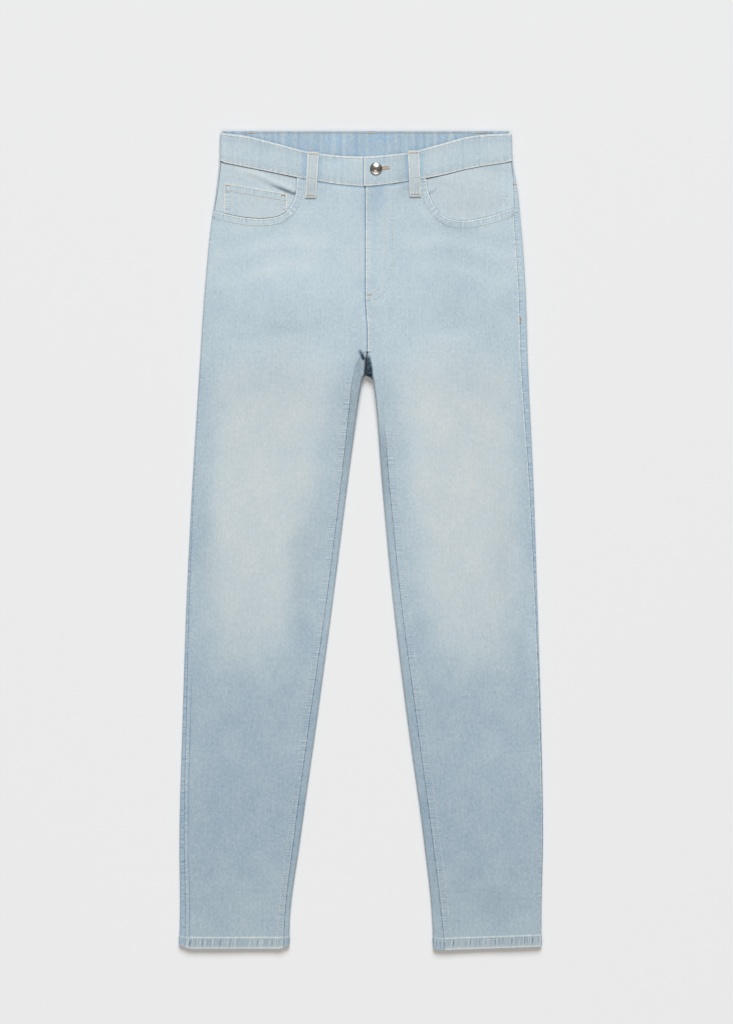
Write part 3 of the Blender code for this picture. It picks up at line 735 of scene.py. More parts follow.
def make_front(leg):
    depth, arc, absent = front_rows(leg, 34, 52, 26, 320)
    x, z = leg.round_side(depth, arc, 0.0)
    rise = front_relief(leg, x, depth)
    on_fold = np.clip(arc / RADIUS, 0, pi / 2)
    hem = HEM_LIFT * ramp(depth, HEM_TOP - 0.6, HEM_TOP + 0.8)
    x_out = x + leg.sign * hem * np.cos(on_fold)
    z_out = z + rise * np.sin(on_fold)
    x_in, z_in = leg.round_side(depth, arc, CLOTH)
    fall = np.minimum(rise, 0.0)
    if leg.name == "left":
        fade = 1 - ramp(depth, FLY_CLOSED, FLY_FLAT)
        fall = fall + FLY_LIFT * (1 - ramp(x, CENTRE + FLY_WIDTH - 1, CENTRE + FLY_WIDTH + 4)) * fade
    z_in = z_in + (fall + drape(x, depth) * (rise >= 0)) * np.sin(on_fold)
    x_in = x_in - leg.sign * hem * np.cos(on_fold)
    lines = [
        # line, half width of the welt, strength of its puckers
        (leg.mouth, 8.6, 0.55),
        (waist_line(), 3.0, 0.3),
        (inseam_line(leg, leg.inseam_shows), 8.0, 0.36),
        (outseam_line(leg, 100.0), 3.5, 0.4),
    ]
    if leg.name == "left":
        lines += [(FLY_LINE, 3.0, 0.4), (RISE_LINE, 6.5, 0.3)]
    else:
        lines += [(RISE_LINE, 2.0, 0.5)]
    run, strength = mark_seams(x, depth, lines)
    run, strength = twist_hem(leg, x, depth, run, strength, 1.2 * hump(depth, 1014.2, 6.5))
    level, tone = wash_and_shade(x, depth)
    hem_here = depth > HEM_TOP - 1.5
    level = level + 0.035 * hem_here
    tone = tone + 0.55 * hem_here
    edge = near_lines(x, depth, [leg.mouth])
    edge = np.minimum(edge, np.abs(depth - HEM_TOP) + 1.35)
    edge = np.minimum(edge, leg.hem - depth)
    # Crevices that the shader darkens and blues, partly kept dye and partly painted shade: below the waist seam,
    # under the hem's top, along the inseam, and beside the fly and the outseam on the right leg.
    pit = near_lines(x, depth, [waist_line()]) * 0.6
    pit = np.minimum(pit, np.abs(depth - HEM_TOP - 2.6) + 0.9)
    below = leg.inseam_shows
    hidden = FAR * (1 - ramp(depth, below, below + 40))
    pit = np.minimum(pit, distance(x, depth, inseam_line(leg))[0] + 1.1 + hidden)
    if leg.name == "left":
        edge = np.minimum(edge, np.where(depth < CROTCH + 1, np.abs(x - CENTRE), FAR))
        edge = np.minimum(edge, distance(x, depth, outseam_line(leg, 60.0))[0] + 0.2)
    else:
        pit = np.minimum(pit, np.where(depth < CROTCH + 1, np.abs(x - CENTRE) * 0.7, FAR))
        hidden = FAR * (1 - ramp(depth, 560, 700))
        outseam = distance(x, depth, outseam_line(leg, 500.0))[0]
        edge = np.minimum(edge, np.abs(outseam - 2.4) + 1.6 + hidden)
        pit = np.minimum(pit, np.abs(outseam - 5.3) + 0.8 + hidden)
    marks = {"wear": level, "tone": tone, "rope": run, "pucker": strength, "edge": edge, "pit": pit}
    return weave_cloth(f"front_{leg.name}", (x_out, depth, z_out), (x_in, depth, z_in), arc, marks, absent)


for leg in (RIGHT, LEFT):
    sew(make_front(leg), [f"front_{leg.name}"])

# The two backs
#
# A back is one cut of the same twill. It wraps round both side folds of the flattened leg, so a strip
# of it shows beside the inseam, and the two backs meet at the crotch in a deep soft hollow.
HOLLOW = smooth(
    [
        # depth, width to the right, width to the left, floor under the upper face
        (277, 1.2, 2.4, 0.3),
        (284, 1.5, 5.2, 0.9),
        (295, 1.9, 7.8, 1.4),
        (303, 2.6, 8.7, 1.7),
        (311, 3.2, 8.7, 1.8),
    ]
)
HOLLOW_END, HOLLOW_CLOSED = 306.0, 312.0
YOKE_CENTRE_DEPTH, YOKE_SIDE_DEPTH = 112.0, 72.0


def yoke_seam(leg, x):
    share = np.clip((x - CENTRE) / (leg.edge(YOKE_SIDE_DEPTH) - CENTRE), 0.0, 1.0)
    return YOKE_CENTRE_DEPTH + (YOKE_SIDE_DEPTH - YOKE_CENTRE_DEPTH) * share


def side_and_under(leg, depth, end, side_cells, under_cells, inset):
    """Rows that run from the side seam round the fold and under the leg to end."""
    t = np.linspace(0, 1, side_cells + 1)
    start = leg.seam_arc(depth[:, :1]) - SEAM_GAP / 2
    arc = start + (-QUARTER - start) * t
    x, z = leg.round_side(depth[:, : side_cells + 1], arc, inset)
    t = np.linspace(0, 1, under_cells + 1)[1:]
    under_x = x[:, -1:] + (end - x[:, -1:]) * t
    under_z = read(LIFT, 1, depth[:, side_cells + 1 :]) + inset
    run = np.concatenate([arc, -QUARTER - np.abs(under_x - x[:, -1:])], axis=1)
    return np.concatenate([x, under_x], axis=1), np.concatenate([z, under_z], axis=1), run


def inner_fold(leg, depth, inset, cells):
    """Rows that run round a leg's inner fold, from the underside up to the inseam."""
    q = np.linspace(0, 1, cells + 1)
    seam = leg.inseam(depth) - leg.opening(depth)
    edge = leg.inner_edge(depth)
    end = QUARTER + np.abs(seam - edge) - RADIUS
    arc = -QUARTER + (end + QUARTER)[:, None] * q
    round_x, round_z = round_fold(edge[:, None], leg.sign, depth[:, None], arc, inset)
    nose = CENTRE + leg.sign * (SEAM_GAP / 2 + inset)
    half, under = read(HOLLOW, leg.column, depth), read(HOLLOW, 3, depth)
    low = read(LIFT, 1, depth) + inset
    high = read(LIFT, 1, depth) + TUBE_HEIGHT - inset
    floor = high - under
    out = leg.sign
    beyond = nose + out * (half + 1.2)
    last = np.minimum(seam, beyond) if out < 0 else np.maximum(seam, beyond)
    knots = [
        (nose + out * 7.0 + 0 * depth, low),
        (nose + out * 0.4 + 0 * depth, low),
        (nose + 0 * depth, low + (floor - low) * 0.35),
        (nose + 0 * depth, low + (floor - low) * 0.75),
        (nose + out * (0.3 * half + 0.2), floor),
        (nose + out * (0.8 * half + 0.4), floor + (high - floor) * 0.35),
        (nose + out * (half + 0.8), high - (high - floor) * 0.1),
        (last, high),
    ]
    at = np.array([0.0, 0.1, 0.2, 0.29, 0.38, 0.46, 0.55, 1.0])
    hollow_x = np.array([np.interp(q, at, column) for column in np.array([k[0] for k in knots]).T])
    hollow_z = np.array([np.interp(q, at, column) for column in np.array([k[1] for k in knots]).T])
    closed = np.sqrt(np.clip((depth - HOLLOW_END) / (HOLLOW_CLOSED - HOLLOW_END), 0, 1))[:, None]
    return hollow_x + (round_x - hollow_x) * closed, hollow_z + (round_z - hollow_z) * closed, arc


def make_back(leg):
    side_cells, under_cells, inner_cells, nose_cells = 14, 40, 21, 3
    torso = np.linspace(ROWS_TOP, CROTCH, 50)
    legs = np.concatenate(
        [
            np.linspace(CROTCH + 1, 312, 18),
            np.linspace(315, HEM_ROWS[0], 190),
            np.linspace(HEM_ROWS[1], HEM_ROWS[2], 6),
            np.linspace(HEM_ROWS[3], leg.hem, 8),
        ]
    )
    count = side_cells + under_cells + inner_cells + 1
    nose = CENTRE + leg.sign * SEAM_GAP / 2
    walls = []
    for inset in (0.0, CLOTH):
        end = nose + leg.sign * 7.0
        depth = np.repeat(torso[:, None], side_cells + under_cells + 1, axis=1)
        x, _, _ = side_and_under(leg, depth, end, side_cells, under_cells, inset)
        start = yoke_seam(leg, x[0]) + SEAM_GAP / 2
        start[: side_cells + 1] = start[side_cells]
        fade = 1 - ramp(torso, ROWS_TOP, ROWS_EVEN)[:, None]
        depth = torso[:, None] + (start - ROWS_TOP)[None, :] * fade
        x, z, run = side_and_under(leg, depth, end, side_cells, under_cells, inset)
        t = np.linspace(0, 1, nose_cells + 1)[1:]
        more_x = np.repeat((end + (nose - end) * t)[None, :], len(torso), axis=0)
        more_x = np.concatenate([more_x, np.repeat(more_x[:, -1:], inner_cells - nose_cells, axis=1)], axis=1)
        more_depth = torso[:, None] + (yoke_seam(leg, more_x) + SEAM_GAP / 2 - ROWS_TOP) * fade
        more_z = read(LIFT, 1, more_depth) + inset
        x_top = np.concatenate([x, more_x], axis=1)
        z_top = np.concatenate([z, more_z], axis=1)
        d_top = np.concatenate([depth, more_depth], axis=1)
        run_top = np.concatenate([run, run[:, -1:] - np.abs(more_x - end)], axis=1)
        swell = HEM_LIFT * ramp(legs, HEM_TOP - 0.6, HEM_TOP + 0.8)
        wall = inset - swell if inset == 0 else inset + 0 * swell
        inner_part, outer_part = [], []
        for at, w in zip(legs, wall):
            row = inner_fold(leg, np.array([at]), w, inner_cells)
            inner_part.append([values[0] for values in row])
            depth = np.full((1, side_cells + under_cells + 1), at)
            row = side_and_under(leg, depth, row[0][0, 0], side_cells, under_cells, w)
            outer_part.append([values[0] for values in row])
        inner_x, inner_z, inner_run = (np.array(part) for part in zip(*inner_part))
        x, z, run = (np.array(part) for part in zip(*outer_part))
        x_low = np.concatenate([x, inner_x[:, 1:]], axis=1)
        z_low = np.concatenate([z, inner_z[:, 1:]], axis=1)
        run_low = np.concatenate([run, run[:, -1:] - QUARTER - inner_run[:, 1:]], axis=1)
        d_low = np.repeat(legs[:, None], count, axis=1)
        x, z = np.concatenate([x_top, x_low]), np.concatenate([z_top, z_low])
        depth, run = np.concatenate([d_top, d_low]), np.concatenate([run_top, run_low])
        upper = np.clip((z - read(LIFT, 1, depth) - 0.6) / (TUBE_HEIGHT - 0.6 - inset), 0, 1)
        walls.append((x, depth, np.maximum(z + drape(x, depth) * upper, 0.0), run))
    x, depth, z, run = walls[0]
    upper = z > read(LIFT, 1, depth) + RADIUS
    lines = [(inseam_line(leg, leg.inseam_shows), 3.0, 0.3), (outseam_line(leg, 60.0), 6.0, 0.5)]
    rope_run, strength = mark_seams(x, depth, lines)
    strength = np.where(upper, strength, strength * 0.3)
    centre_run, centre_strength = mark_seams(x, depth, [(RISE_LINE, 8.0, 0.4)])
    rope_run = np.where(~upper & (centre_strength > 0), centre_run, rope_run)
    strength = np.where(~upper, np.maximum(centre_strength, strength), strength)
    rope_run, strength = twist_hem(leg, x, depth, rope_run, strength, 0.7 * hump(depth, 1013.8, 6.0))
    level, tone = wash_and_shade(x, depth)
    # Painted shade: the strip of the back that shows beside the inseam is darker and greyer, most near the crotch,
    # where the cloth turns away from the light; towards the hem it also greys.
    strip = upper & (np.abs(x - leg.edge(depth)) > 30)
    shaded = 1.0 if leg.name == "right" else ramp(depth, 330, 420)
    lower = ramp(depth, 350, 540)
    level = np.where(strip, level - (0.09 - 0.06 * lower) * shaded, np.where(upper, level - 0.02, level))
    strip_tone = (0.45 - 0.4 * lower) * shaded + 0.28 * ramp(depth, 860, 980)
    tone = np.where(strip, strip_tone, np.where(upper, -0.1, tone))
    # Painted shade: the hollow between the legs at the crotch is painted almost black, because the deep gap there
    # lies in shadow.
    to_right, to_left = CENTRE - read(HOLLOW, 1, depth), CENTRE + read(HOLLOW, 2, depth)
    hollow = ramp(x, to_right - 0.6, to_right + 1.2) * (1 - ramp(x, to_left - 1.0, to_left + 0.8))
    hollow = hollow * ramp(depth, 278, 286) * (1 - ramp(depth, 312, 316))
    hollow = hollow * ramp(z, read(LIFT, 1, depth) + 0.8, read(LIFT, 1, depth) + 2.0)
    level = level + (0.03 - level) * hollow
    tone = tone * (1 - hollow)
    strength = strength * (1 - hollow)
    below = leg.inseam_shows
    inseam_pit = distance(x, depth, inseam_line(leg))[0] + 0.5 + FAR * (1 - ramp(depth, below, below + 40))
    below = 60.0 if leg.name == "left" else 1200.0
    outseam_pit = distance(x, depth, outseam_line(leg, 60.0))[0] + 0.4 + FAR * (1 - ramp(depth, below, below + 120))
    pit = np.where(upper, np.minimum(inseam_pit, outseam_pit), FAR)
    edge = np.abs(depth - HEM_TOP) + 1.35
    marks = {"wear": level, "tone": tone, "rope": rope_run, "pucker": strength, "edge": edge, "pit": pit}
    absent = np.zeros((x.shape[0] - 1, x.shape[1] - 1), bool)
    absent[: len(torso), side_cells + under_cells + nose_cells :] = True
    return weave_cloth(f"back_{leg.name}", (x, depth, z), walls[1][:3], run, marks, absent)


for leg in (RIGHT, LEFT):
    sew(make_back(leg), [f"back_{leg.name}"])

# The back yokes
#
# A yoke is a shaped strip between the waistband and the back, deepest at the centre back.
# It gives the seat its curve, and its lower seam is felled with two rows of stitching.
BAND_BACK = 38.0


def make_yoke(leg):
    side_cells, under_cells, rows = 14, 44, 16
    end = CENTRE + leg.sign * SEAM_GAP / 2
    walls = []
    for inset in (0.0, CLOTH):
        share = np.linspace(0, 1, rows)[:, None]
        flat = np.full((rows, side_cells + under_cells + 1), YOKE_SIDE_DEPTH)
        x, _, _ = side_and_under(leg, flat, end, side_cells, under_cells, inset)
        seam = yoke_seam(leg, x) - SEAM_GAP / 2
        seam[:, : side_cells + 1] = YOKE_SIDE_DEPTH - SEAM_GAP / 2
        depth = BAND_BACK + SEAM_GAP + (seam - BAND_BACK - SEAM_GAP) * share
        x, z, run = side_and_under(leg, depth, end, side_cells, under_cells, inset)
        walls.append((x, depth, z, run))
    x, depth, z, run = walls[0]
    seam_line = np.column_stack([x[-1], depth[-1]])
    rope_run, strength = mark_seams(x, depth, [(seam_line, 9.0, 0.5), (RISE_LINE, 7.0, 0.4)])
    level, tone = wash_and_shade(x, depth)
    marks = {"wear": level, "tone": tone, "rope": rope_run, "pucker": strength}
    return weave_cloth(f"yoke_{leg.name}", (x, depth, z), walls[1][:3], run, marks)


for leg in (RIGHT, LEFT):
    sew(make_yoke(leg), [f"yoke_{leg.name}"])

# The pocket facings
#
# A facing is the piece of the same twill that shows inside a curved pocket mouth. It is sewn to the
# side seam and the waistband, and runs on under the front. The right one has a soft diagonal crease.
FACING_END, FACING_DEPTH = 62.0, 136.0
FACING_INSET, FACING_CLOTH = 1.6, 1.1
CREASE = path([(-153, 47), (-130, 54.5), (-108, 64), (-84, 73.5)])


def crease(x, depth):
    near, along = distance(x, depth, CREASE)
    length = hypot(69, 26)
    side = np.sign(depth - np.interp(x, CREASE[:, 0], CREASE[:, 1]))
    ends = ramp(along, 0, 30) * (1 - ramp(along, length - 5, length))
    fold = 0.95 * np.exp(-((near / 4.2) ** 2)) - 0.35 * np.exp(-(((side * near - 6.5) / 3.2) ** 2))
    return fold * ends


def make_facing(leg):
    columns, rows = 96, 64
    share = np.linspace(0, 1, rows)[:, None]
    t = np.linspace(0, 1, columns)[None, :] ** 1.3
    walls = []
    for inset in (FACING_INSET, FACING_INSET + FACING_CLOTH):
        level = BAND_BACK + SEAM_GAP + (FACING_DEPTH - BAND_BACK) * share
        start = leg.seam_arc(level) + SEAM_GAP / 2
        stop = leg.arc_at(level, leg.sign * FACING_END)
        arc = start + (stop - start) * t
        x = leg.round_side(level, arc, 0.0)[0]
        above = read(WAIST, 2, x) + SEAM_GAP
        depth = above + (FACING_DEPTH - above) * share
        x, z = leg.round_side(depth, arc, inset)
        rise = crease(x, depth) if leg.name == "right" else 0.25 * hump(depth - 0.2 * x, 40, 9) * hump(x, 110, 26)
        if leg.name == "left":
            rise = rise + 0.45 * ramp(x, 176.5, 178.5)
        mouth, _ = distance(x, depth, leg.mouth)
        settle = ramp(mouth, 2.0, 26.0) * 0.9 * (depth < leg.mouth_depth(x)) * ramp(arc, QUARTER, QUARTER + 14)
        walls.append((x, depth, z + rise + settle * (0.35 if leg.name == "right" else 1.0), arc))
    x, depth, z, arc = walls[0]
    lines = [(waist_line(), 2.0, 0.3)]
    seam = np.column_stack([np.full(60, 178.0), np.linspace(40, 98, 60)])
    if leg.name == "left":
        lines.append((seam, 5.0, 0.14))
    run, strength = mark_seams(x, depth, lines)
    level = 0.53 + 0 * x
    tone = 0.45 + 0 * x
    # Crevices below the waistband seam and along the mouth, which the shader darkens as painted shadow under the
    # band and the front's edge.
    pit = near_lines(x, depth, [waist_line(), leg.mouth])
    edge = FAR + 0 * x
    if leg.name == "right":
        # Painted light on the crease: a painted highlight along its ridge and painted shade in the valley below it,
        # deepest towards its right end, where the cloth folds under.
        near, along = distance(x, depth, CREASE)
        side = np.sign(depth - np.interp(x, CREASE[:, 0], CREASE[:, 1]))
        level = level + 0.06 * np.exp(-((near / 4.0) ** 2))
        crease_valley_shade = hump(side * near, 4.8, 4.2) * ramp(along, 30, 66)
        level, tone = level - 0.17 * crease_valley_shade, tone + 0.8 * crease_valley_shade
        valley = np.abs(side * near - 4.5) * 0.7 + 3.0 * (1 - ramp(along, 18, 64))
        pit = np.minimum(pit, np.where(along < 76, valley, FAR))
    else:
        edge = np.abs(x - 177.2) + 1.5
        tone = tone - 0.4 * ramp(x, 170, 177)
        # Painted shade in a short tuck near the mouth, and a darker and a lighter diagonal band of painted shade and
        # painted light across the facing.
        tuck, along = distance(x, depth, path([(79, 81.5), (88, 76.5), (100, 70.5)]))
        level = level - 0.15 * (1 - ramp(tuck, 0.4, 3.2)) * (1 - ramp(along, 8, 22))
        level = level - 0.035 * hump(depth - 0.24 * (x - 70), 20, 13) + 0.03 * hump(depth - 0.3 * (x - 120), 52, 20)
    marks = {"wear": level, "tone": tone, "rope": run, "pucker": strength, "pit": pit, "edge": edge}
    return weave_cloth(f"facing_{leg.name}", (x, depth, z), walls[1][:3], arc, marks)


for leg in (RIGHT, LEFT):
    sew(make_facing(leg), [f"pocket_facing_{leg.name}"])

# The coin pocket
#
# A small patch of the same twill on the right facing, its top edge turned down and sewn twice,
# both sides sewn twice, and its foot lost under the curved pocket mouth.
COIN_FROM, COIN_TO = -171.0, -92.0
COIN_TOP_FROM, COIN_TOP_TO = 65.0, 78.5
COIN_CLEAR = 1.0


def coin_top(x):
    return COIN_TOP_FROM + (COIN_TOP_TO - COIN_TOP_FROM) * (x - COIN_FROM) / (COIN_TO - COIN_FROM)


def make_coin():
    columns, rows = 80, 40
    t = np.linspace(0, 1, columns)[None, :]
    share = np.linspace(0, 1, rows)[:, None]
    x = COIN_FROM + (COIN_TO - COIN_FROM) * t + 0 * share
    depth = coin_top(x) + (RIGHT.mouth_depth(x) - COIN_CLEAR - coin_top(x)) * share
    from_top, from_side = depth - coin_top(x), np.minimum(x - COIN_FROM, COIN_TO - x)
    top = read(LIFT, 1, depth) + TUBE_HEIGHT
    hem = 0.25 * (1 - ramp(from_top, 8.0, 9.5))
    sides = 0.2 * (1 - ramp(from_side, 7.0, 8.5))
    z = top - 0.35 + np.maximum(hem, sides)
    run = np.where(from_top < 10, x, depth)
    strength = 0.55 * np.maximum(1 - ramp(from_top, 4, 11), 1 - ramp(from_side, 3, 9))
    edge = np.minimum(from_top, from_side)
    marks = {"wear": 0.53 + 0 * x, "tone": 0.4 + 0 * x, "rope": run, "pucker": strength, "edge": edge}
    return weave_cloth("coin_pocket", (x, depth, z), (x, depth, top - 1.3), x, marks)


sew(make_coin(), ["coin_pocket"])

# The back pockets
#
# Two patch pockets with a pointed foot, sewn to the backs. They lie flat on the surface,
# so they show only from below.
BACK_POCKET_OUT, BACK_POCKET_TOP, BACK_POCKET_HEIGHT, BACK_POCKET_POINT = 94.0, 116.0, 122.0, 22.0
BACK_POCKET_WIDTH, BACK_POCKET_FOOT = 142.0, 122.0
# Heights of the two faces of a patch that lies under the backs.
UNDER_FROM, UNDER_TO = 0.25, 1.5


def make_back_pocket(leg):
    columns, rows = 57, 48
    across = np.linspace(-1, 1, columns)[None, :]
    share = np.linspace(0, 1, rows)[:, None]
    half = (BACK_POCKET_WIDTH + (BACK_POCKET_FOOT - BACK_POCKET_WIDTH) * share) / 2
    depth = BACK_POCKET_TOP + BACK_POCKET_HEIGHT * share + BACK_POCKET_POINT * share * (1 - np.abs(across))
    x = CENTRE + leg.sign * BACK_POCKET_OUT + half * across
    depth = depth + 0 * x
    rim = np.minimum.reduce([half * (1 - np.abs(across)), (1 - share) * BACK_POCKET_HEIGHT + 0 * across])
    strength = 0.5 * (1 - ramp(rim, 2, 10)) + 0.5 * (1 - ramp(depth - BACK_POCKET_TOP, 10, 20))
    level, tone = wash_and_shade(x, depth)
    marks = {"wear": level + 0.02, "tone": tone, "rope": x + depth, "pucker": np.clip(strength, 0, 0.4), "edge": rim}
    return weave_cloth(f"back_pocket_{leg.name}", (x, depth, UNDER_FROM), (x, depth, UNDER_TO), x, marks)


for leg in (RIGHT, LEFT):
    sew(make_back_pocket(leg), [f"back_pocket_{leg.name}"])

# The waistband
#
# One straight strip of twill, doubled, caught over the raw waist and edge-stitched all round. Its left end
# laps over the right one at the front, with a slit buttonhole worked in tan thread.
BAND_CLOTH = 1.9
BAND_END, BAND_UNDERLAP = 3.75, 38.0
BAND_LIFT, BAND_DIP, BAND_PROUD = 0.8, 1.5, 0.45
HOLE_FROM, HOLE_TO = 15.8, 34.0
HOLE_SHARES = (0.392, 0.492)
ROW_SHARES = (0.065, 0.925)


def make_band():
    turn = np.linspace(QUARTER, -QUARTER, 13)
    right_in = RIGHT.edge(0.0) + RADIUS
    left_in = LEFT.edge(0.0) - RADIUS
    parts = [
        ("under", np.linspace(BAND_UNDERLAP, right_in, 110)[:-1]),
        ("right", turn),
        ("back", np.linspace(right_in, left_in, 120)[1:-1]),
        ("left", turn[::-1]),
        ("over", np.linspace(left_in, HOLE_TO, 78)[1:-1]),
        ("over", np.linspace(HOLE_TO, HOLE_FROM, 10)),
        ("over", np.linspace(HOLE_FROM, BAND_END, 8)[1:]),
    ]
    shares = np.concatenate(
        [
            np.linspace(0, HOLE_SHARES[0], 11)[:-1],
            np.linspace(*HOLE_SHARES, 4),
            np.linspace(HOLE_SHARES[1], 1, 13)[1:],
        ]
    )[:, None]
    edge_round = 0.35 * (ramp(shares, 0.0, 0.05) * (1 - ramp(shares, 0.95, 1.0)) - 1)
    body = edge_round - 0.22 * sum(hump(shares, share, 0.04) for share in ROW_SHARES)
    walls = []
    for inset in (0.0, BAND_CLOTH):
        columns = []
        for kind, at in parts:
            at = at[None, :]
            swell = 0.16 * np.sin(at / 11.0) * np.sin(at / 29.0 + 1) * hump(shares, 0.5, 0.5)
            over = 0 * at if kind == "back" else 1 + 0 * at
            if kind in ("right", "left"):
                over = (1 + np.sin(at / RADIUS)) / 2
            form = (body + swell + BAND_PROUD * over) if inset == 0 else 0 * body + 0 * at
            if kind in ("right", "left"):
                leg = RIGHT if kind == "right" else LEFT
                top_edge = read(WAIST, 1, leg.edge(0.0)) * over
                depth = top_edge + (BAND_BACK - top_edge) * shares
                x, z = leg.round_side(depth, at + 0 * depth, inset - form)
            elif kind == "back":
                x = at + 0 * shares
                depth = BAND_BACK * shares + 0 * at
                z = read(LIFT, 1, depth) + inset - form
            else:
                upper, lower = read(WAIST, 1, at), read(WAIST, 2, at)
                depth = upper + (lower - upper) * shares
                x = at + 0 * shares
                if kind == "under":
                    shift = -BAND_DIP * ramp(at, CENTRE - 12, CENTRE - 2)
                else:
                    shift = BAND_LIFT * (1 - ramp(at, 40, 52))
                z = read(LIFT, 1, depth) + TUBE_HEIGHT - inset + shift + form
            columns.append((x, depth, z))
        walls.append([np.concatenate([c[k] for c in columns], axis=1) for k in range(3)])
    x, depth, z = walls[0]
    step = np.hypot(np.diff(x, axis=1), np.diff(z, axis=1)).mean(axis=0)
    run = np.concatenate([[0], np.cumsum(step)])[None, :] + 0 * x
    kinds = np.concatenate([np.full(at.shape[0], kind) for kind, at in parts])
    inside = (kinds == "back")[None, :]
    near_edge = np.maximum(1 - ramp(shares, 0.05, 0.2), ramp(shares, 0.82, 0.96))
    strength = np.where(inside, 0.42, 0.30 * near_edge + 0.12)
    level = np.where(inside, 0.402, 0.52 - 0.02 * near_edge + 0 * x)
    tone = np.where(inside, -0.20, 0.25 + 0 * x)
    for loop_x in (-61.0, 66.5):
        # The cloth beside a loop is darker and bluer: painted shade of the loop.
        beside = hump(np.abs(x - loop_x), 9.0, 5.0) * ~inside
        level = level - 0.085 * beside
        tone = tone - 0.75 * beside
    level = level - 0.03 * hump(x, 24, 26) * hump(shares, 0.2, 0.25)
    # Painted shade: a darker band just inside each edge rim, where the puckers lie in shadow, and darker cloth round
    # the two front loops.
    level = level - (0.035 * hump(shares, 0.19, 0.15) + 0.028 * hump(shares, 0.81, 0.12)) * ~inside
    level = level - (0.075 * hump(x, 58, 24) + 0.05 * hump(x, -60, 22)) * ~inside
    level = level + 0.075 * hump(x, -4, 26) * hump(shares, 0.12, 0.22) * ~inside
    tone = tone - 0.5 * hump(x, 24, 26) * hump(shares, 0.2, 0.25) - 0.5 * hump(x, -30, 24) * hump(shares, 0.3, 0.3)
    height = (read(WAIST, 2, x) - read(WAIST, 1, x)) * np.minimum(shares, 1 - shares)
    edge = np.where(inside, FAR, height * 0.78)
    edge = np.where(kinds[None, :] == "over", np.minimum(edge, np.abs(x - BAND_END)), edge)
    pit = np.where((kinds == "under")[None, :], np.abs(x - BAND_END) * 0.8, FAR)
    rope_run = run * np.where(inside, 0.42, 0.6)
    marks = {"wear": level, "tone": tone, "rope": rope_run, "pucker": strength, "edge": edge, "pit": pit}
    # The slit of the buttonhole is cut out of the lapping end.
    start = sum(len(at) for _, at in parts[:5])
    absent = np.zeros((x.shape[0] - 1, x.shape[1] - 1), bool)
    absent[10:13, start : start + 9] = True
    return weave_cloth("waistband", (x, depth, z), walls[1], run, marks, absent)


sew(make_band(), ["waistband"])

# The belt loops
#
# Narrow strips folded in three and sewn along both edges, tacked over the waistband's upper edge and again
# under its seam. Two show on the front. Three lie under the back, with only their tacks showing at the waist.
LOOP_WIDTH, LOOP_LENGTH, LOOP_CLOTH, LOOP_OVER, LOOP_BULGE = 14.0, 57.5, 1.6, 0.8, 0.9
LAYER_GAP = 0.3
FRONT_LOOPS = {"belt_loop_front_right": (-59.5, -63.0), "belt_loop_front_left": (65.5, 68.0)}
BACK_LOOPS = {"belt_loop_back_right": -138.0, "belt_loop_back_centre": 12.0, "belt_loop_back_left": 150.0}


def make_front_loop(name, upper_x, lower_x):
    across = np.linspace(-1, 1, 17)[None, :]
    share = np.linspace(0, 1, 56)[:, None]
    depth = read(WAIST, 1, upper_x) - LOOP_OVER + LOOP_LENGTH * share + 0 * across
    x = upper_x + (lower_x - upper_x) * share + LOOP_WIDTH / 2 * across
    top = read(LIFT, 1, depth) + TUBE_HEIGHT
    lie = LOOP_BULGE * np.sin(pi * share) ** 2
    crown = 0.22 * (1 - across**4) - 0.16 * hump(np.abs(across), 0.66, 0.16)
    ends = 0.5 * ramp(share, 0.90, 0.93) * (1 - ramp(share, 0.98, 1.0)) + 0.2 * (1 - ramp(share, 0.03, 0.06))
    tack = -0.35 * (hump(share, 0.052, 0.03) + hump(share, 0.955, 0.03))
    z = top + LAYER_GAP + LOOP_CLOTH - 0.3 + lie + crown + ends + tack
    edge_mark = 0.25 * ramp(np.abs(across), 0.5, 0.95) + 0 * share
    edge = LOOP_WIDTH / 2 * (1 - np.abs(across)) + 0.3 + 0 * share
    edge = np.minimum(edge, LOOP_LENGTH * np.minimum(share, 1 - share) + 0 * across)
    rope_run = depth + 30 * np.sign(across)
    level = 0.525 + 0.03 * hump(np.abs(across), 0.3, 0.2) - 0.055 * ramp(share, 0.55, 0.85)
    marks = {"wear": level, "tone": 0.7 + 0 * x, "rope": rope_run, "pucker": edge_mark, "edge": edge}
    return weave_cloth(name, (x, depth, z), (x, depth, top + LAYER_GAP + lie + 0 * across), x, marks)


def make_back_loop(name, x):
    across = np.linspace(-1, 1, 13)[None, :]
    share = np.linspace(0, 1, 40)[:, None]
    depth = LOOP_LENGTH * share - LOOP_OVER + 0 * across
    x = x + LOOP_WIDTH / 2 * across + 0 * share
    marks = {"wear": 0.48 + 0 * x, "tone": 0.5 + 0 * x, "rope": depth, "pucker": 0.25 * np.abs(across) + 0 * share}
    return weave_cloth(name, (x, depth, UNDER_FROM), (x, depth, UNDER_TO), x, marks)


for name, (upper_x, lower_x) in FRONT_LOOPS.items():
    strip = make_front_loop(name, upper_x, lower_x)
    sew(strip, [name])
for name, x in BACK_LOOPS.items():
    strip = make_back_loop(name, x)
    sew(strip, [name])

# The button
#
# A shank button of nickel-plated metal: a stem through the buttonhole and a shallow domed head with a raised rim.


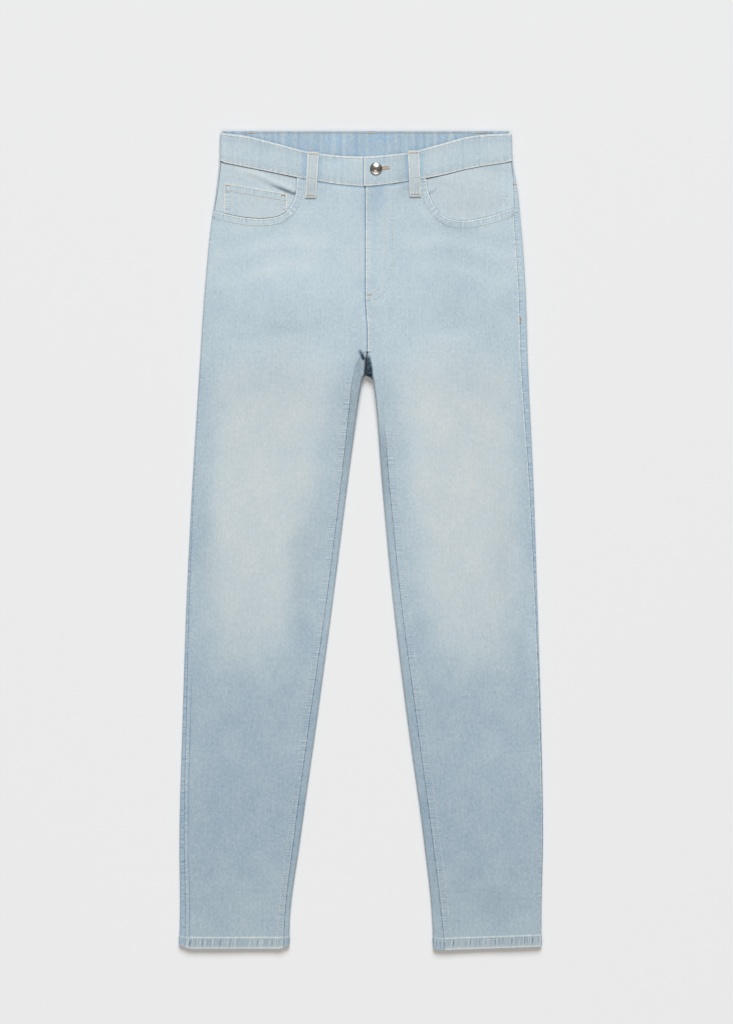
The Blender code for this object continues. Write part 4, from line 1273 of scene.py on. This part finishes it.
def make_button():
    foot, head = button_low[2] / MM, button_high[2] / MM - 3.3
    profile = [
        # distance from the axis, height
        (0.0, foot),
        (1.4, foot),
        (1.4, head),
        (6.6, head),
        (7.3, head + 0.15),
        (7.8, head + 0.7),
        (7.75, head + 1.4),
        (7.3, head + 2.0),
        (6.6, head + 2.25),
        (6.0, head + 2.05),
        (5.7, head + 1.85),
        (5.2, head + 1.9),
        (4.0, head + 2.6),
        (2.4, head + 3.1),
        (1.0, head + 3.28),
        (0.0, head + 3.3),
    ]
    bm = bmesh.new()
    rim = [bm.verts.new(places(np.array(BUTTON_X + r), np.array(BUTTON_DEPTH), np.array(z))) for r, z in profile]
    edges = [bm.edges.new(pair) for pair in zip(rim, rim[1:])]
    centre = places(np.array(BUTTON_X), np.array(BUTTON_DEPTH), np.array(0.0))
    bmesh.ops.spin(bm, geom=rim + edges, cent=centre, axis=(0, 0, 1), angle=2 * pi, steps=72, use_merge=True)
    bmesh.ops.remove_doubles(bm, verts=bm.verts, dist=0.000002)
    bmesh.ops.recalc_face_normals(bm, faces=bm.faces)
    mesh = mesh_of(bm, "button_metal")
    mesh.shade_smooth()
    mesh.set_sharp_from_angle(angle=radians(35))
    return put("button_metal", mesh)


def nickel():
    """Brushed nickel plate, a little tarnished in its hollows."""
    material, tree = new_material("nickel_plate")
    coords = add_node(tree, "ShaderNodeTexCoord", {}).outputs["Object"]
    grime = add_node(tree, "ShaderNodeTexNoise", {"Scale": 420.0, "Detail": 4.0, "Vector": coords}).outputs["Fac"]
    inputs = {
        "Base Color": colour_ramp(tree, grime, [(0.3, (0.13, 0.12, 0.11)), (0.75, (0.66, 0.63, 0.58))]),
        "Normal": bumps(tree, grime, 0.5, 0.0006),
        "Metallic": 1.0,
        "Roughness": 0.28,
    }
    feed(tree, tree.nodes["Principled BSDF"], inputs)
    return material


button = make_button()
button.data.materials.append(nickel())
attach(button, "root")
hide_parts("button")

# The stitching
#
# Off-white cotton topstitching, nine stitches to 30 mm, with tan bar tacks and a tan worked buttonhole.
# Each row follows its seam a step inside the edge, and every stitch is pressed onto the cloth below it.
PITCH, STITCH, THREAD, THREAD_HEIGHT = 3.3, 2.7, 0.85, 0.55
TACK_PITCH, TACK_THREAD = 0.55, 0.6
NEEDLE_UNDER, NEEDLE_OVER, NEEDLE_REACH = -30.0, 60.0, 0.1


def surface_of(things):
    """One ray-casting tree over the finished cloth."""
    verts, faces, base = [], [], 0
    for thing in things:
        count = len(thing.data.vertices)
        co = np.zeros(count * 3)
        thing.data.vertices.foreach_get("co", co)
        verts.append(co.reshape(-1, 3))
        thing.data.calc_loop_triangles()
        tri = np.zeros(len(thing.data.loop_triangles) * 3, int)
        thing.data.loop_triangles.foreach_get("vertices", tri)
        faces.append(tri.reshape(-1, 3) + base)
        base += count
    return BVHTree.FromPolygons(np.concatenate(verts).tolist(), np.concatenate(faces).tolist())


def bead():
    """The form of one stitch, as places and faces."""
    bm = bmesh.new()
    bmesh.ops.create_icosphere(bm, subdivisions=1, radius=1.0)
    bm.verts.ensure_lookup_table()
    form = np.array([v.co[:] for v in bm.verts])
    faces = np.array([[v.index for v in f.verts] for f in bm.faces])
    bm.free()
    return form, faces


BEAD, BEAD_FACES = bead()
cloth_tree = surface_of([o for o in bpy.data.objects if o.name.endswith("_cloth")])


class Row:
    """Stitches gathered for one joined mesh."""

    def __init__(self):
        self.places = []

    def add(self, middle, along, normal, length, width, height):
        along = along.normalized()
        across = normal.cross(along).normalized()
        up = along.cross(across).normalized()
        frame_of = np.array([along[:], across[:], up[:]])
        size = np.array([length / 2, width / 2, height / 2]) * MM
        self.places.append((BEAD * size) @ frame_of + np.array(middle[:]))

    def join(self, name, material):
        count = len(self.places)
        verts = np.concatenate(self.places)
        verts[:, 2] = np.maximum(verts[:, 2], 0.0)
        faces = np.concatenate([BEAD_FACES + k * len(BEAD) for k in range(count)])
        mesh = bpy.data.meshes.new(name)
        mesh.from_pydata(verts.tolist(), [], faces.tolist())
        mesh.shade_smooth()
        mesh.materials.append(material)
        thing = put(name, mesh)
        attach(thing, "root")


def land(x, depth, below=False):
    """Where a needle at a place meets the cloth, from above or from below."""
    height = NEEDLE_UNDER if below else NEEDLE_OVER
    start = Vector(places(np.array(x), np.array(depth), np.array(height)).tolist())
    hit, normal, _, _ = cloth_tree.ray_cast(start, Vector((0, 0, 1 if below else -1)), NEEDLE_REACH)
    if hit is None:
        return None, None
    if normal.z * (-1 if below else 1) < 0:
        normal = -normal
    return hit, normal


def stitch(rows, line, below=False):
    """Sew along a path of places on the cloth."""
    line = np.asarray(line, float)
    run = np.concatenate([[0], np.cumsum(np.hypot(*np.diff(line, axis=0).T))])
    count = int(run[-1] / PITCH)
    for k in range(count):
        at = (k + 0.5) * run[-1] / count
        ends = [at + side * STITCH / 2 for side in (-1, 0, 1)]
        hits = [land(np.interp(end, run, line[:, 0]), np.interp(end, run, line[:, 1]), below) for end in ends]
        if any(hit is None for hit, _ in hits):
            continue
        along = hits[2][0] - hits[0][0]
        if along.length > 2.5 * STITCH * MM or along.length < 1e-6:
            continue
        middle, normal = hits[1]
        middle = middle + normal * (THREAD_HEIGHT / 2) * MM
        rows.add(middle, along, normal, STITCH, THREAD, THREAD_HEIGHT)


def offset(line, by):
    """A path moved sideways on the cloth."""
    line = np.asarray(line, float)
    slope = np.gradient(line, axis=0)
    slope /= np.maximum(np.hypot(slope[:, 0], slope[:, 1])[:, None], 1e-9)
    return line + by * np.column_stack([-slope[:, 1], slope[:, 0]])


def bar_tack(rows, x, depth, width, height, across=True, below=False):
    """Dense block of thread at a point of strain."""
    count = int(max(width, height) / TACK_PITCH)
    for k in range(count):
        t = (k + 0.5) / count - 0.5
        if across:
            place_x, place_depth, along = x + t * width, depth, (0.35, height)
        else:
            place_x, place_depth, along = x, depth + t * height, (width, 0.35)
        hit, normal = land(place_x, place_depth, below)
        if hit is None:
            continue
        direction = Vector((along[0], -along[1], 0)) * MM
        direction -= normal * direction.dot(normal)
        rows.add(hit + normal * 0.2 * MM, direction, normal, max(hypot(*along), 1.0), TACK_THREAD, TACK_THREAD)


def thread(name, colour):
    material, tree = new_material(name)
    coords = add_node(tree, "ShaderNodeTexCoord", {}).outputs["Object"]
    tone = add_node(tree, "ShaderNodeTexNoise", {"Scale": 90.0, "Detail": 3.0, "Vector": coords}).outputs["Fac"]
    inputs = {"Scale": 900.0, "Vector": coords}
    twist = add_node(tree, "ShaderNodeTexWave", inputs, bands_direction="DIAGONAL").outputs["Fac"]
    inputs = {
        "Base Color": colour_ramp(tree, tone, [(0.3, [c * 0.8 for c in colour]), (0.7, colour)]),
        "Normal": bumps(tree, twist, 0.3, 0.0002),
        "Roughness": 0.8,
        "Specular IOR Level": 0.25,
    }
    feed(tree, tree.nodes["Principled BSDF"], inputs)
    return material


pale_thread = thread("pale_thread", (0.84, 0.81, 0.74))
tan_thread = thread("tan_thread", (0.66, 0.50, 0.36))

HEM_ROW_UP = 11.0
front_sewing = Row()
for leg in (RIGHT, LEFT):
    for step in (1.6, 8.4):
        stitch(front_sewing, offset(leg.mouth, leg.sign * step)[4:])
    line = inseam_line(leg)
    line = line[line[:, 1] > leg.inseam_shows + 6]
    for step in (1.7, 7.6 if leg.name == "right" else 8.8):
        stitch(front_sewing, line + np.array([leg.sign * step, 0.0]))
    if leg.name == "left":
        down = np.arange(70, 238, 3.0)
        seam = np.column_stack([leg.edge(down) - leg.sign * read(SIDES, leg.column + 2, down), down])
        stitch(front_sewing, seam + np.array([2.0, 0.0]))
    hem = leg.hem - HEM_ROW_UP
    stitch(front_sewing, [(leg.inner_edge(hem) + leg.sign * 1.5, hem), (leg.edge(hem) - leg.sign * 1.5, hem)])
stitch(front_sewing, FLY_LINE)
stitch(front_sewing, FLY_INNER_LINE)
for step, start, end in ((2.0, 72, 212), (1.8, 212, 273), (7.6, 214, 275)):
    stitch(front_sewing, [(CENTRE + step, start), (CENTRE + step, end)])
for step in (1.6, 9.0):
    stitch(front_sewing, [(x, coin_top(x) + step) for x in (-168.8, -94)])
for x in (COIN_FROM + 1.8, COIN_FROM + 7.4, COIN_TO - 1.8, COIN_TO - 8.0):
    stitch(front_sewing, [(x, coin_top(x) + 1.6), (x, RIGHT.mouth_depth(x) - 2.0)])
for x in (176.6, 181.4):
    stitch(front_sewing, [(x, 42.0), (x, 97.0)])
front_sewing.join("front_stitching", pale_thread)

band_sewing = Row()
x = np.arange(-172.0, 184.0, 2.0)
for share in ROW_SHARES:
    line = read(WAIST, 1, x) + (read(WAIST, 2, x) - read(WAIST, 1, x)) * share
    stitch(band_sewing, np.column_stack([x, line]))
stitch(band_sewing, [(BAND_END + 1.9, 34.5), (BAND_END + 1.9, 66.5)])
waist_sewing = Row()
stitch(waist_sewing, [(-150.0, 1.7), (164.0, 1.7)])
back_sewing = Row()
for depth in (2.4, BAND_BACK - 2.6):
    stitch(back_sewing, [(-172, depth), (184, depth)], below=True)
stitch(back_sewing, [(-150, 2.2), (162, 2.2)])
for name, (upper_x, lower_x) in FRONT_LOOPS.items():
    start = read(WAIST, 1, upper_x)
    for step in (-4.6, 4.6):
        stitch(band_sewing, [(upper_x + step, start + 0.5), (lower_x + step, start + LOOP_LENGTH - 3.0)])
band_sewing.join("waistband_stitching", pale_thread)

for leg in (RIGHT, LEFT):
    x = CENTRE + (leg.edge(YOKE_SIDE_DEPTH) - CENTRE) * np.linspace(0.02, 0.98, 60)
    for step in (2.0, 8.0):
        stitch(back_sewing, np.column_stack([x, yoke_seam(leg, x) + step]), below=True)
    stitch(back_sewing, [(CENTRE + leg.sign * 3.0, 40), (CENTRE + leg.sign * 3.0, 298)], below=True)
    middle = CENTRE + leg.sign * BACK_POCKET_OUT
    top, foot = BACK_POCKET_WIDTH / 2, BACK_POCKET_FOOT / 2
    low = BACK_POCKET_TOP + BACK_POCKET_HEIGHT
    for step in (2.0, 8.0):
        outline = [
            (middle - top + step, BACK_POCKET_TOP + 1.5),
            (middle - foot + step, low - step * 0.6),
            (middle, low + BACK_POCKET_POINT - step),
            (middle + foot - step, low - step * 0.6),
            (middle + top - step, BACK_POCKET_TOP + 1.5),
        ]
        stitch(back_sewing, outline, below=True)
    for depth in (BACK_POCKET_TOP + 2.0, BACK_POCKET_TOP + 14.0):
        stitch(back_sewing, [(middle - top + 2, depth), (middle + top - 2, depth)], below=True)
    hem = leg.hem - HEM_ROW_UP
    stitch(back_sewing, [(leg.inner_edge(hem) + leg.sign * 2, hem), (leg.edge(hem) - leg.sign * 2, hem)], below=True)
for x in BACK_LOOPS.values():
    for step in (-4.4, 4.4):
        stitch(back_sewing, [(x + step, 1.0), (x + step, LOOP_LENGTH - 4.0)], below=True)
back_sewing.join("back_stitching", pale_thread)

tacks = Row()
for name, (upper_x, lower_x) in FRONT_LOOPS.items():
    start = read(WAIST, 1, upper_x) - LOOP_OVER
    bar_tack(tacks, upper_x, start + 3.0, 11.5, 1.8)
    bar_tack(tacks, lower_x, start + LOOP_LENGTH - 2.6, 11.5, 1.8)
for x in BACK_LOOPS.values():
    bar_tack(tacks, x, 2.2, 11.0, 2.0)
    bar_tack(tacks, x, LOOP_LENGTH - 4.0, 11.5, 1.8, below=True)
bar_tack(tacks, COIN_FROM + 4.4, coin_top(COIN_FROM) + 3.0, 6.0, 2.0)
bar_tack(tacks, COIN_TO - 5.0, coin_top(COIN_TO) + 2.0, 6.0, 2.0)
bar_tack(tacks, CENTRE + 4.5, 205.0, 7.0, 1.8)
bar_tack(tacks, 78.5, 63.6, 5.5, 1.6)
bar_tack(tacks, LEFT.edge(70.0) - 2.4, 67.0, 6.5, 1.6)
bar_tack(tacks, LEFT.edge(237.0) - 8.0, 237.0, 1.8, 9.0, across=False)
for k in range(32):
    x = HOLE_FROM + 5.0 + (HOLE_TO - HOLE_FROM - 3.0) * k / 31
    upper, lower = read(WAIST, 1, x), read(WAIST, 2, x)
    hit, normal = land(x, upper + (lower - upper) * (HOLE_SHARES[1] + 0.02))
    if hit is not None:
        middle = hit + Vector((0, 2.1 * MM, 0.15 * MM))
        tacks.add(middle, Vector((0.1, 1, 0)), normal, 5.2 - 0.06 * abs(k - 16), 0.66, 0.6)
tacks.join("bar_tacks", tan_thread)
waist_sewing.join("waist_edge_stitching", thread("brown_thread", (0.42, 0.36, 0.29)))

# Camera, light and surface
#
# The jeans lie on a plain pale surface under soft studio light, seen straight from above.
# The camera stands over the middle of the photograph's frame.
FRAME_HEIGHT = 1024
PIXEL = 1.25 * MM
MIDDLE_X, MIDDLE_Y = 366.5, 512.0
LENS, SENSOR = 100.0, 36.0
aim_x = (MIDDLE_X - 361.0) * PIXEL + EAST
aim_y = NORTH - (MIDDLE_Y - 131.0) * PIXEL
camera_data = bpy.data.cameras.new("overhead")
camera_data.lens = LENS
camera_data.sensor_width = SENSOR
camera_data.sensor_fit = "VERTICAL"
camera_data.sensor_height = SENSOR
camera = put("overhead", camera_data)
camera.location = (aim_x, aim_y, FRAME_HEIGHT * PIXEL * LENS / SENSOR + 6 * MM)
bpy.context.scene.camera = camera

bm = bmesh.new()
bmesh.ops.create_grid(bm, x_segments=2, y_segments=2, size=6.0)
floor = put("surface", mesh_of(bm, "surface"))
paper, tree = new_material("surface")
inputs = {"Base Color": (0.82, 0.82, 0.82, 1), "Roughness": 1.0, "Specular IOR Level": 0.0}
feed(tree, tree.nodes["Principled BSDF"], inputs)
floor.data.materials.append(paper)


def lamp(name, place, size, power, colour):
    """A soft light that faces the middle of the surface."""
    data = bpy.data.lights.new(name, "AREA")
    data.shape = "RECTANGLE"
    data.size = data.size_y = size
    data.energy = power
    data.color = colour
    light = put(name, data)
    light.location = place
    light.rotation_euler = (-Vector(place)).to_track_quat("-Z", "Y").to_euler()


lamp("waist_softbox", (0.6, 12.0, 11.0), 8.0, 2480, (0.905, 0.95, 1.0))
lamp("overhead_softbox", (-0.4, -2.4, 3.9), 3.0, 53, (1.0, 0.965, 0.925))
world = bpy.data.worlds.new("studio")
world.use_nodes = True
feed(world.node_tree, world.node_tree.nodes["Background"], {"Color": (1.0, 0.93, 0.86, 1), "Strength": 0.287})
bpy.context.scene.world = world
bpy.context.scene.view_settings.view_transform = "Standard"
